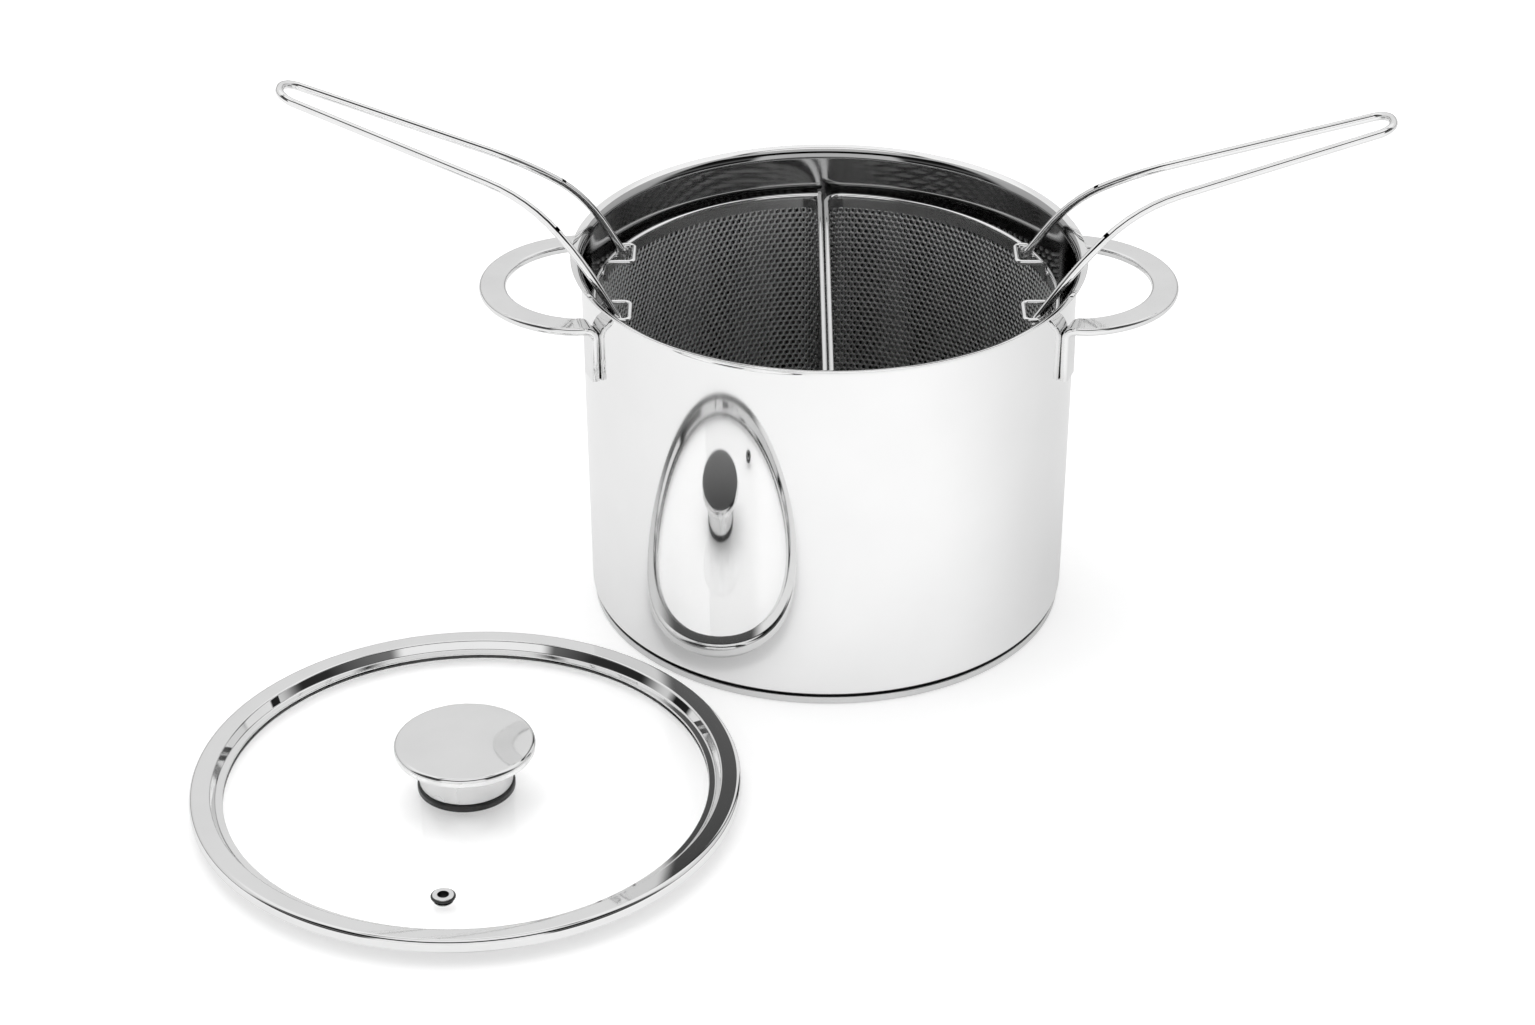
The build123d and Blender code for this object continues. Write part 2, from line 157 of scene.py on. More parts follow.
def sheet_loop(middle: Array, thickness: float) -> Array:
    """Closed outline of a sheet about its middle line: one face out, round the end, the other back.

    Both faces lie half the thickness to the sides of the middle line. The end is its last point
    plus cos a * the half thickness to the left and sin a * the half thickness onwards.

    Args:
        middle: points of the middle line.
        thickness: thickness of the sheet.

    Returns:
        The outline's points.
    """
    runs = np.gradient(middle, axis=0)
    runs /= np.linalg.norm(runs, axis=1)[:, None]
    sides = np.stack([-runs[:, 1], runs[:, 0]], axis=1) * thickness / 2
    left, right = middle + sides, middle - sides
    angles = np.linspace(0, math.pi, EDGE_STEPS + 1)[1:-1, None]
    cap = middle[-1] + np.cos(angles) * sides[-1] + np.sin(angles) * runs[-1] * thickness / 2
    return np.concatenate([left, cap, right[::-1]])


def revolve(profile: Array, segments: int, closed: bool = False) -> Surface:
    """Surface of revolution: radius * cos a, radius * sin a and height, for a round a full turn.

    Args:
        profile: radius and height of each point, with the solid to the left of its direction.
        segments: steps round the axis.
        closed: whether the last point joins the first.

    Returns:
        The surface.
    """
    angles = np.arange(segments) / segments * FULL_TURN
    radius, height = profile[:, 0, None], profile[:, 1, None]
    grid = np.stack([radius * np.cos(angles), radius * np.sin(angles), height + 0 * angles], axis=-1)
    surface = Surface()
    surface.add(grid.reshape(-1, 3), grid_faces(len(profile), segments, closed))
    return surface


def grid_faces(rows: int, columns: int, closed_rows: bool, closed_columns: bool = True) -> Array:
    """Four-cornered faces over a grid of points, row by row.

    A point's number is row * columns + column, and a face joins those of two rows and two columns.

    Args:
        rows: rows of points.
        columns: points in a row.
        closed_rows: whether the last row joins the first.
        closed_columns: whether each row's last point joins its first.

    Returns:
        Corner numbers, four to a face.
    """
    row = np.arange(rows if closed_rows else rows - 1)[:, None]
    column = np.arange(columns if closed_columns else columns - 1)[None, :]
    next_row, next_column = (row + 1) % rows, (column + 1) % columns
    corners = [
        row * columns + column,
        row * columns + next_column,
        next_row * columns + next_column,
        next_row * columns + column,
    ]
    return np.stack([corner + 0 * row + 0 * column for corner in corners], axis=-1).reshape(-1, 4)


def sweep(path: Array, section: Array, across: Array, upward: Array, scale: Array | None = None) -> Surface:
    """Section carried along a path: point = path + section x * across + section y * upward.

    Args:
        path: points of the path.
        section: closed outline, anticlockwise, in across and upward.
        across: direction of the section's first axis at each point of the path.
        upward: direction of its second axis.
        scale: size of the section at each point, as shares of its own.

    Returns:
        The surface, with both ends closed.
    """
    size = np.ones(len(path)) if scale is None else scale
    grid = path[:, None] + size[:, None, None] * (
        section[None, :, :1] * across[:, None] + section[None, :, 1:] * upward[:, None]
    )
    count = len(section)
    ring = np.arange(count)
    last = (len(path) - 1) * count
    start, end = len(path) * count, len(path) * count + 1
    fans = [
        np.stack([0 * ring + start, (ring + 1) % count, ring], axis=1),
        np.stack([0 * ring + end, last + ring, last + (ring + 1) % count], axis=1),
    ]
    surface = Surface()
    surface.add(
        np.concatenate([grid.reshape(-1, 3), path[[0, -1]]]),
        grid_faces(len(path), count, False)[:, ::-1],
        fans[0][:, ::-1],
        fans[1][:, ::-1],
    )
    return surface


def wire(path: Array, radius: float, aside: tuple[float, float, float], sides: int) -> Surface:
    """Round wire along a path, with softened cut ends.

    The frame at each point is the cross product of the path's direction with a fixed direction.
    The last half radius at each end shrinks as 1 - (1 - cos a) / 2, for a round edge.

    Args:
        path: points of the wire's middle line.
        radius: radius of the wire.
        aside: a direction that the path never takes.
        sides: faces round the wire.

    Returns:
        The surface.
    """
    edge = radius / 2
    lean = np.linspace(0, math.pi / 2, CUT_POINTS)
    depth, shrink = edge * (1 - np.sin(lean)), 1 - (1 - np.cos(lean)) / 2
    first = (path[1] - path[0]) / np.linalg.norm(path[1] - path[0])
    final = (path[-1] - path[-2]) / np.linalg.norm(path[-1] - path[-2])
    opening = path[0] + depth[::-1, None] * first
    closing = path[-1] - depth[:, None] * final
    points = np.concatenate([opening, path[1:-1], closing])
    scale = np.concatenate([shrink[::-1], np.ones(len(path) - 2), shrink])
    runs = np.gradient(points, axis=0)
    runs /= np.linalg.norm(runs, axis=1)[:, None]
    across = np.cross(runs, np.array(aside, float))
    across /= np.linalg.norm(across, axis=1)[:, None]
    angles = np.arange(sides) / sides * FULL_TURN
    section = radius * np.stack([np.cos(angles), np.sin(angles)], axis=1)
    return sweep(points, section, across, np.cross(across, runs), scale)


@dataclass(frozen=True)
class HalfMoon:
    """Closed outline of a basket on the +x side: a flat side, an arc and two rounded corners.

    Attributes:
        radius: radius of the arc about the pot's axis.
        flat: distance of the flat side from that axis.
        corner: radius of the two corners.
    """

    radius: float
    flat: float
    corner: float

    @property
    def corner_centre(self) -> Array:
        """Centre of the rounded corner on the +y side."""
        along = self.flat + self.corner
        return np.array([along, math.sqrt((self.radius - self.corner) ** 2 - along**2)])

    @property
    def heading(self) -> float:
        """Angle at which the arc meets that corner, seen from the axis."""
        return math.atan2(self.corner_centre[1], self.corner_centre[0])

    @property
    def lengths(self) -> list[float]:
        """Lengths of the flat side, a corner, the arc and the other corner."""
        bend = self.corner * (math.pi - self.heading)
        return [2 * self.corner_centre[1], bend, 2 * self.radius * self.heading, bend]

    def at(self, along: Array) -> tuple[Array, Array]:
        """Points and outward directions, by distance along the outline.

        The flat side runs from -y to +y, and each round stretch is its centre plus its radius times
        the outward direction, whose angle falls evenly along it.

        Args:
            along: distances from the foot of the flat side, clockwise seen from above.

        Returns:
            Points and outward directions, one to a row.
        """
        ends = np.cumsum(self.lengths)
        along = np.mod(along, ends[-1])
        centre, heading = self.corner_centre, self.heading
        stretch = np.searchsorted(ends, along, side="right")
        angle = np.choose(
            stretch,
            [
                np.full_like(along, math.pi),
                math.pi - (along - ends[0]) / self.corner,
                heading - (along - ends[1]) / self.radius,
                -heading - (along - ends[2]) / self.corner,
            ],
        )
        outward = np.stack([np.cos(angle), np.sin(angle)], axis=1)
        middles = np.array([[0, 0], centre, [0, 0], centre * (1, -1)])
        reach = np.choose(stretch, [0, self.corner, self.radius, self.corner])
        points = middles[stretch] + reach[:, None] * outward
        flat = np.stack([np.full_like(along, self.flat), along - centre[1]], axis=1)
        return np.where((stretch == 0)[:, None], flat, points), outward

    def inset(self, depth: float) -> "HalfMoon":
        """The outline that lies a depth inside this one."""
        return HalfMoon(self.radius - depth, self.flat + depth, self.corner - depth)


@dataclass(frozen=True)
class Perforation:
    """Staggered round holes punched in a sheet, each cut as eight sides in a six-sided tile.

    Attributes:
        pitch: distance between neighbouring holes.
        hole_radius: radius of a hole.
        sheet: thickness of the sheet.
        dimple: depth to which the punch draws the inner face down at the edge of a hole.
        crease_degrees: edges that turn more than this are sharp, so that the edges of the holes,
            which the punch draws round, aren't.
    """

    pitch: float = 3.25
    hole_radius: float = 1.16
    sheet: float = 0.6
    dimple: float = 0.25
    crease_degrees: float = 120.0

    TILE_CORNERS = 6
    HOLE_CORNERS = 8
    # Corner of the hole that each side of the tile joins, and corner of the tile for each hole side
    SIDE_APEX = (1, 2, 3, 5, 6, 7)
    HOLE_APEX = (0, 1, 2, 3, 3, 4, 5, 0)

    def tiles(
        self, columns: Array, rows: Array, flat_ends: bool, lit: tuple[int, ...] = ()
    ) -> dict[str, Array]:
        """Flat pattern of tiles, in steps of half a pitch across and a third of a row up.

        A tile's centre is at column * pitch + half a pitch in odd rows, and row * pitch * sin 60.

        Args:
            columns: column of each tile.
            rows: row of each tile.
            flat_ends: whether the first and last row are squared off to a straight edge.
            lit: sides of each hole that carry a painted glint, counted anticlockwise.

        Returns:
            Arrays: "nodes" and "holes", points across and up; "web", triangles of the sheet's face
                over both; "rim", the sides of the holes; "keys", the whole-number places of the nodes;
                "lit_web" and "lit_rim", whether each triangle and side carries the painted glint.
        """
        middle = np.stack([2 * columns + rows % 2, 3 * rows], axis=1)
        steps = np.array([[1, 1], [0, 2], [-1, 1], [-1, -1], [0, -2], [1, -1]])
        keys = middle[:, None] + steps
        if flat_ends:
            low, high = 3 * rows.min(), 3 * rows.max()
            keys[..., 1] = np.where(keys[..., 1] > high, high + 2, keys[..., 1])
            keys[..., 1] = np.where(keys[..., 1] < low, low - 2, keys[..., 1])
        nodes, number = np.unique(keys.reshape(-1, 2), axis=0, return_inverse=True)
        number = number.reshape(-1, self.TILE_CORNERS)
        angles = (np.arange(self.HOLE_CORNERS) + 0.5) / self.HOLE_CORNERS * FULL_TURN
        ring = self.hole_radius * np.stack([np.cos(angles), np.sin(angles)], axis=1)
        holes = (middle * self.key_step)[:, None] + ring
        hole_number = len(nodes) + np.arange(len(middle) * self.HOLE_CORNERS).reshape(-1, self.HOLE_CORNERS)
        corner, turn = np.arange(self.TILE_CORNERS), np.arange(self.HOLE_CORNERS)
        next_corner, next_turn = (corner + 1) % self.TILE_CORNERS, (turn + 1) % self.HOLE_CORNERS
        outer = [number[:, corner], number[:, next_corner], hole_number[:, self.SIDE_APEX]]
        inner = [hole_number[:, next_turn], hole_number[:, turn], number[:, self.HOLE_APEX]]
        web = np.concatenate([np.stack(part, axis=-1).reshape(-1, 3) for part in (outer, inner)])
        rim = np.stack([hole_number[:, turn], hole_number[:, next_turn]], axis=-1).reshape(-1, 2)
        apex = np.array(self.SIDE_APEX)
        lit_sides = np.isin(turn, lit)
        lit_webs = np.isin(apex, lit) & np.isin(apex - 1, lit)
        masks = [np.tile(mask, len(middle)) for mask in (lit_webs, lit_sides)]
        return {
            "nodes": nodes * self.key_step,
            "holes": holes.reshape(-1, 2),
            "web": web,
            "rim": rim,
            "keys": nodes,
            "lit_web": np.concatenate(masks),
            "lit_rim": masks[1],
        }

    @property
    def key_step(self) -> Array:
        """Half a pitch, and a third of the distance between rows."""
        return np.array([self.pitch / 2, self.pitch / (2 * math.sqrt(3))])


# Finishes


def linear(code: str) -> tuple[float, float, float, float]:
    """Turn an sRGB colour to linear: ((c + 0.055) / 1.055) ^ 2.4, and c / 12.92 up to 0.04045.

    Args:
        code: the colour's hex code.

    Returns:
        Linear red, green and blue, and an alpha of 1.
    """
    parts = np.array([int(code[start : start + 2], 16) for start in (0, 2, 4)]) / 255
    values = np.where(parts <= 0.04045, parts / 12.92, ((parts + 0.055) / 1.055) ** 2.4)
    return (*values, 1.0)


def add_node(tree: bpy.types.NodeTree, kind: str, inputs: dict | None = None, **settings) -> bpy.types.Node:
    """Add a node to a tree.

    Args:
        tree: the tree.
        kind: the node's type name, without its ShaderNode prefix.
        inputs: value or output socket for each input, by name or number.
        settings: the node's own settings.

    Returns:
        The node.
    """
    made = tree.nodes.new("ShaderNode" + kind)
    for name, value in settings.items():
        setattr(made, name, value)
    for name, value in (inputs or {}).items():
        if isinstance(value, bpy.types.NodeSocket):
            tree.links.new(value, made.inputs[name])
        else:
            made.inputs[name].default_value = value
    return made


def mixed_colour(
    tree: bpy.types.NodeTree, share: object, first: object, second: object
) -> bpy.types.NodeSocket:
    """Add a node that mixes two colours.

    Args:
        tree: the tree.
        share: share of the second colour, as a value or an output socket.
        first: first colour, as four values or an output socket.
        second: second colour, in the same way.

    Returns:
        The output with the mixed colour.
    """
    mix = add_node(tree, "Mix", {"Factor": share}, data_type="RGBA")
    colours = [socket for socket in mix.inputs if socket.type == "RGBA"]
    for socket, value in zip(colours, (first, second)):
        if isinstance(value, bpy.types.NodeSocket):
            tree.links.new(value, socket)
        else:
            socket.default_value = value
    return next(socket for socket in mix.outputs if socket.type == "RGBA")


def new_material(name: str) -> tuple[bpy.types.Material, bpy.types.NodeTree, bpy.types.Node]:
    """Make a material.

    Args:
        name: its name.

    Returns:
        The material, its tree and the tree's shader.
    """
    material = bpy.data.materials.new(name)
    material.use_nodes = True
    return material, material.node_tree, material.node_tree.nodes["Principled BSDF"]


def noise(
    tree: bpy.types.NodeTree, place: bpy.types.NodeSocket, size_mm: float, detail: float
) -> bpy.types.NodeSocket:
    """Value of a noise whose patches have a real size: its scale is 1 over that size in metres.

    Args:
        tree: the tree.
        place: coordinates in metres.
        size_mm: size of the patches.
        detail: number of finer layers.

    Returns:
        The output with the value.
    """
    scale = 1 / (size_mm * METRES_PER_MM)
    return add_node(tree, "TexNoise", {"Vector": place, "Scale": scale, "Detail": detail}).outputs["Fac"]


def bump(
    tree: bpy.types.NodeTree, height: bpy.types.NodeSocket, depth_mm: float, **inputs
) -> bpy.types.NodeSocket:
    """Normals of a surface with a pattern pressed into it.

    Args:
        tree: the tree.
        height: the pattern, from 0 to 1.
        depth_mm: depth that 1 stands for.
        inputs: the node's other inputs, such as the normals of a finer pattern.

    Returns:
        The output with the normals.
    """
    depth = {"Height": height, "Strength": 1.0, "Distance": depth_mm * METRES_PER_MM}
    return add_node(tree, "Bump", depth | inputs).outputs["Normal"]


class Grain(Enum):
    """Course of the fine lines that a finish leaves on steel."""

    RINGS_UP = "turned about an upright axis, so the lines are level rings up a wall"
    RINGS_OUT = "turned about an upright axis, so the lines are rings on a level face"
    CLOUDY = "buffed every way, with no course"


@dataclass(frozen=True)
class Steel:
    """A worked metal surface.

    The lines of a real polish lie some hundredths of a millimetre apart. They are drawn five to ten
    times as coarse, so that they show in the render.

    Attributes:
        name: name of the material.
        colour: sRGB hex of clean metal.
        dull_colour: sRGB hex where the finish is duller.
        roughness: smallest and largest roughness.
        grain: course of the fine lines.
        line_mm: distance between the lines.
        line_depth_mm: depth of the lines.
        cloud_mm: size of the patches where the roughness and colour change.
        wave_mm: size of the soft waves that drawing or rolling leaves.
        wave_depth_mm: depth of those waves.
        centre_mm: axis about which the lines run, across x and y.
        smear: how far the turning lines stretch a highlight across themselves, from 0 to 1.
        metallic: 1 for a whole bright surface, less for the pale glint painted on one side of each hole's
            edge.
    """

    # Values of the cloud noise between which the roughness changes
    CLOUD_SPAN = {"From Min": 0.3, "From Max": 0.7}
    # Share to which a level ring's coordinates are squeezed along its course
    SQUEEZE = 0.01

    name: str
    colour: str
    dull_colour: str
    roughness: tuple[float, float]
    grain: Grain
    line_mm: float
    line_depth_mm: float
    cloud_mm: float
    wave_mm: float
    wave_depth_mm: float
    centre_mm: tuple[float, float] = (0.0, 0.0)
    smear: float = 0.0
    metallic: float = 1.0

    def build(self) -> bpy.types.Material:
        """Make the material: noise stretched along the lines, cloudy roughness and soft waves.

        Returns:
            The material.
        """
        material, tree, shader = new_material(self.name)
        shader.inputs["Metallic"].default_value = self.metallic
        place = add_node(tree, "TexCoord").outputs["Object"]
        centre = [-value * METRES_PER_MM for value in self.centre_mm] + [0]
        local = add_node(tree, "Mapping", {"Vector": place, "Location": centre}).outputs["Vector"]
        cloud = noise(tree, local, self.cloud_mm, detail=3.0)
        low, high = self.roughness
        rough = add_node(tree, "MapRange", {"Value": cloud, **self.CLOUD_SPAN, "To Min": low, "To Max": high})
        tree.links.new(rough.outputs["Result"], shader.inputs["Roughness"])
        tone = mixed_colour(tree, cloud, linear(self.colour), linear(self.dull_colour))
        tree.links.new(tone, shader.inputs["Base Color"])
        lines = noise(tree, self.line_vector(tree, local), self.line_mm, detail=2.0)
        waves = noise(tree, local, self.wave_mm, detail=0.0)
        fine = bump(tree, lines, self.line_depth_mm)
        tree.links.new(bump(tree, waves, self.wave_depth_mm, Normal=fine), shader.inputs["Normal"])
        if self.smear:
            around = add_node(tree, "Tangent", direction_type="RADIAL", axis="Z")
            tree.links.new(around.outputs["Tangent"], shader.inputs["Tangent"])
            shader.inputs["Anisotropic"].default_value = self.smear
        return material

    def line_vector(self, tree: bpy.types.NodeTree, local: bpy.types.NodeSocket) -> bpy.types.NodeSocket:
        """Coordinates in which the fine lines are cut: squeezed along their course.

        Rings up a wall keep the height, and rings on a level face take the distance from the axis.

        Args:
            tree: the material's tree.
            local: coordinates about the finish's axis.

        Returns:
            The output with the coordinates.
        """
        if self.grain is Grain.CLOUDY:
            return local
        if self.grain is Grain.RINGS_UP:
            scale = (self.SQUEEZE, self.SQUEEZE, 1.0)
            return add_node(tree, "Mapping", {"Vector": local, "Scale": scale}).outputs["Vector"]
        level = add_node(tree, "Mapping", {"Vector": local, "Scale": (1.0, 1.0, 0.0)}).outputs["Vector"]
        radius = add_node(tree, "VectorMath", {0: level}, operation="LENGTH").outputs["Value"]
        return add_node(tree, "CombineXYZ", {"X": radius}).outputs["Vector"]


@dataclass(frozen=True)
class ClearGlass:
    """Tempered soda-lime glass, ground at its edge: colourless, with a faint bloom of fingerprints.

    Attributes:
        name: name of the material.
        colour: sRGB hex of what passes through.
        refraction: index of refraction.
        smear_mm: size of the patches of bloom.
        smear_span: values of the noise between which the bloom sets in.
        roughness: smallest and largest roughness.
    """

    name: str = "tempered_glass"
    colour: str = "FDFDFD"
    refraction: float = 1.5
    smear_mm: float = 35.0
    smear_span: tuple[float, float] = (0.45, 0.75)
    roughness: tuple[float, float] = (0.0, 0.03)

    def build(self) -> bpy.types.Material:
        """Make the material, whose shadow is thinned as light passes straight through a flat pane.

        Returns:
            The material.
        """
        material, tree, shader = new_material(self.name)
        shader.inputs["Base Color"].default_value = linear(self.colour)
        shader.inputs["IOR"].default_value = self.refraction
        shader.inputs["Transmission Weight"].default_value = 1.0
        place = add_node(tree, "TexCoord").outputs["Object"]
        smear = noise(tree, place, self.smear_mm, detail=4.0)
        ends = zip(("From Min", "From Max", "To Min", "To Max"), self.smear_span + self.roughness)
        rough = add_node(tree, "MapRange", {"Value": smear, **dict(ends)})
        tree.links.new(rough.outputs["Result"], shader.inputs["Roughness"])
        shadow = add_node(tree, "LightPath").outputs["Is Shadow Ray"]
        clear = add_node(tree, "BsdfTransparent", {"Color": linear(self.colour)})
        mixed = add_node(tree, "MixShader", {0: shadow, 1: shader.outputs["BSDF"], 2: clear.outputs["BSDF"]})
        tree.links.new(mixed.outputs["Shader"], tree.nodes["Material Output"].inputs["Surface"])
        return material


@dataclass(frozen=True)
class Silicone:
    """Black silicone rubber, pressed in a smooth mould: deep black with a soft shine.

    Attributes:
        name: name of the material.
        colour: sRGB hex of the rubber.
        dusty_colour: sRGB hex in the hollows of its skin.
        roughness: its roughness.
        skin_mm: size of the skin's hollows, coarser than the mould's own, so that they show.
        skin_depth_mm: depth of those hollows.
    """

    name: str = "black_silicone"
    colour: str = "161616"
    dusty_colour: str = "2A2A2A"
    roughness: float = 0.3
    skin_mm: float = 0.6
    skin_depth_mm: float = 0.01

    def build(self) -> bpy.types.Material:
        """Make the material: fine moulded skin, with dust in its hollows.

        Returns:
            The material.
        """
        material, tree, shader = new_material(self.name)
        shader.inputs["Roughness"].default_value = self.roughness
        place = add_node(tree, "TexCoord").outputs["Object"]
        skin = noise(tree, place, self.skin_mm, detail=2.0)
        ramp = add_node(tree, "ValToRGB", {"Fac": skin})
        ramp.color_ramp.elements[0].color = linear(self.dusty_colour)
        ramp.color_ramp.elements[1].color = linear(self.colour)
        tree.links.new(ramp.outputs["Color"], shader.inputs["Base Color"])
        tree.links.new(bump(tree, skin, self.skin_depth_mm), shader.inputs["Normal"])
        return material


class Finish(Enum):
    """Finishes of the pot's pieces, each made once and shared, with what it gives the eye."""

    # Deep-drawn stainless sheet with a mirror polish: shows the room sharply, over faint level rings
    BODY_OUTSIDE = Steel(
        "polished_steel_outside", "F4F4F4", "ECECEC", (0.02, 0.06), Grain.RINGS_UP,
        line_mm=0.5, line_depth_mm=0.0004, cloud_mm=60, wave_mm=45, wave_depth_mm=0.02,
    )
    # The same sheet inside, painted darker than the outside as shade in the pot's dim inside, and a little
    # rougher, so its reflections run a little
    BODY_INSIDE_SHADED = Steel(
        "polished_steel_inside_painted_shade", "B4B4B4", "A0A0A0", (0.04, 0.1), Grain.RINGS_UP,
        line_mm=0.5, line_depth_mm=0.0008, cloud_mm=30, wave_mm=60, wave_depth_mm=0.02,
    )
    # Flat bar, bent and tumbled until its edges are soft: bright, with a fine haze
    HANDLE_BAR = Steel(
        "polished_steel_bar", "EFEFEF", "E2E2E2", (0.04, 0.09), Grain.CLOUDY,
        line_mm=0.4, line_depth_mm=0.0006, cloud_mm=20, wave_mm=18, wave_depth_mm=0.01,
    )
    # Rolled sheet, punched and washed: a soft grey shine without sharp reflections
    PUNCHED_SHEET = Steel(
        "punched_steel_sheet", "E6E6E6", "D6D6D6", (0.1, 0.18), Grain.CLOUDY,
        line_mm=0.3, line_depth_mm=0.001, cloud_mm=15, wave_mm=25, wave_depth_mm=0.02,
    )
    # Pale, rough crescent painted on the side of each hole that faces the light from above: a painted glint
    HOLE_GLINT = Steel(
        "hole_edge_painted_glint", "FAFAFA", "F0F0F0", (0.35, 0.45), Grain.CLOUDY,
        line_mm=0.3, line_depth_mm=0.001, cloud_mm=15, wave_mm=25, wave_depth_mm=0.02,
        metallic=0.2,
    )
    # Stainless wire, drawn through a die: bright, with long thin highlights
    BRIGHT_WIRE = Steel(
        "bright_drawn_wire", "F6F6F6", "EAEAEA", (0.04, 0.1), Grain.CLOUDY,
        line_mm=0.25, line_depth_mm=0.0008, cloud_mm=12, wave_mm=10, wave_depth_mm=0.005,
    )
    # Rolled aluminium, bare: a dull mid grey line in the groove of the base
    BASE_CORE = Steel(
        "rolled_aluminium_core", "6E6F70", "5A5B5C", (0.35, 0.5), Grain.CLOUDY,
        line_mm=0.3, line_depth_mm=0.01, cloud_mm=10, wave_mm=20, wave_depth_mm=0.01,
    )
    # Pressed steel dish, turned flat below: satin, with rings about its middle
    BASE_DISH = Steel(
        "turned_steel_dish", "DEDEDE", "CFCFCF", (0.12, 0.2), Grain.RINGS_OUT,
        line_mm=0.5, line_depth_mm=0.004, cloud_mm=40, wave_mm=50, wave_depth_mm=0.01,
    )
    # Rolled and polished rim: a mirror in which thin dark and white lines run round
    LID_STEEL = Steel(
        "polished_steel_rim", "EDEDED", "E2E2E2", (0.01, 0.04), Grain.RINGS_OUT,
        line_mm=0.4, line_depth_mm=0.0005, cloud_mm=30, wave_mm=24, wave_depth_mm=0.01,
        centre_mm=LID_CENTRE,
    )
    # Spun steel cap, polished: an even light grey that shows the room faintly
    KNOB_STEEL = Steel(
        "spun_steel_knob", "ECECEC", "E2E2E2", (0.03, 0.07), Grain.RINGS_OUT,
        line_mm=0.35, line_depth_mm=0.001, cloud_mm=25, wave_mm=30, wave_depth_mm=0.01,
        centre_mm=LID_CENTRE,
    )
    # Steel tube left as turned: satin, with highlights that stretch up and down across its rings
    DRUM_STEEL = Steel(
        "turned_steel_drum", "E6E6E6", "D8D8D8", (0.24, 0.32), Grain.RINGS_UP,
        line_mm=0.35, line_depth_mm=0.001, cloud_mm=25, wave_mm=30, wave_depth_mm=0.01,
        centre_mm=LID_CENTRE, smear=0.85,
    )
    # Inside of the vent's tube, painted dark as the shade down its narrow bore: a black spot seen from above
    BORE_SHADE = Steel(
        "vent_bore_painted_shade", "3C3C3C", "2A2A2A", (0.25, 0.4), Grain.RINGS_UP,
        line_mm=0.3, line_depth_mm=0.002, cloud_mm=8, wave_mm=10, wave_depth_mm=0.01,
        centre_mm=LID_CENTRE,
    )
    GLASS = ClearGlass()
    SILICONE = Silicone()

    @property
    def material(self) -> bpy.types.Material:
        """The finish's material, made when it is first asked for."""
        return bpy.data.materials.get(self.value.name) or self.value.build()


# From surfaces to pieces


@dataclass(frozen=True)
class Piece:
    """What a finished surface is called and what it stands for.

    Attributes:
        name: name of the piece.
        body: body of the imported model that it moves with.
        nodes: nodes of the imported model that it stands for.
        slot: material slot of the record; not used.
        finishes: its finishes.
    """

    name: str
    body: str
    nodes: tuple[str, ...]
    slot: str
    finishes: tuple[Finish, ...]

    def make(
        self, surface: Surface, crease_degrees: float | None = None, second: Array | None = None
    ) -> None:
        """Write a surface to a mesh and hand it to the frame.

        Args:
            surface: the surface, in millimetres.
            crease_degrees: edges that turn more than this are sharp; without it, the normals follow
                the larger faces, so that a narrow rounding leaves a wide flat face flat.
            second: whether each face has the second finish.
        """
        mesh = bpy.data.meshes.new(self.name)
        points = np.concatenate(surface.points) * METRES_PER_MM
        counts = np.concatenate([np.full(len(group), group.shape[1]) for group in surface.faces])
        corners = np.concatenate([group.ravel() for group in surface.faces])
        mesh.vertices.add(len(points))
        mesh.loops.add(len(corners))
        mesh.polygons.add(len(counts))
        mesh.vertices.foreach_set("co", points.astype(np.float32).ravel())
        mesh.loops.foreach_set("vertex_index", corners.astype(np.int32))
        mesh.polygons.foreach_set("loop_start", (np.cumsum(counts) - counts).astype(np.int32))
        mesh.polygons.foreach_set("use_smooth", np.ones(len(counts), bool))
        for finish in self.finishes:
            mesh.materials.append(finish.material)
        if second is not None:
            mesh.polygons.foreach_set("material_index", second.astype(np.int32))
        mesh.update(calc_edges=True)
        mesh.validate()
        if crease_degrees is None:
            mesh.normals_split_custom_set_from_vertices(face_weighted_normals(mesh))
        else:
            mesh.set_sharp_from_angle(angle=math.radians(crease_degrees))
        made = bpy.data.objects.new(self.name, mesh)
        bpy.context.scene.collection.objects.link(made)
        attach(made, self.body)
        if self.nodes:
            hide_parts(*self.nodes)
        log.info("%s: %d faces on %s", self.name, len(mesh.polygons), self.body)


def face_weighted_normals(mesh: bpy.types.Mesh) -> Array:
    """Normal of each point: the sum of its faces' normals, each times the face's area.

    Args:
        mesh: the mesh.

    Returns:
        One unit vector for each point.
    """
    loops, polygons = len(mesh.loops), len(mesh.polygons)
    vertex, count, area = np.empty(loops, np.int32), np.empty(polygons, np.int32), np.empty(polygons)
    normal = np.empty(polygons * 3)
    mesh.loops.foreach_get("vertex_index", vertex)
    mesh.polygons.foreach_get("loop_total", count)
    mesh.polygons.foreach_get("area", area)
    mesh.polygons.foreach_get("normal", normal)
    weighted = np.repeat(normal.reshape(-1, 3) * area[:, None], count, axis=0)
    sums = [np.bincount(vertex, weighted[:, axis], len(mesh.vertices)) for axis in range(3)]
    total = np.stack(sums, axis=1)
    return total / np.maximum(np.linalg.norm(total, axis=1)[:, None], np.finfo(float).tiny)


# Sub-assemblies


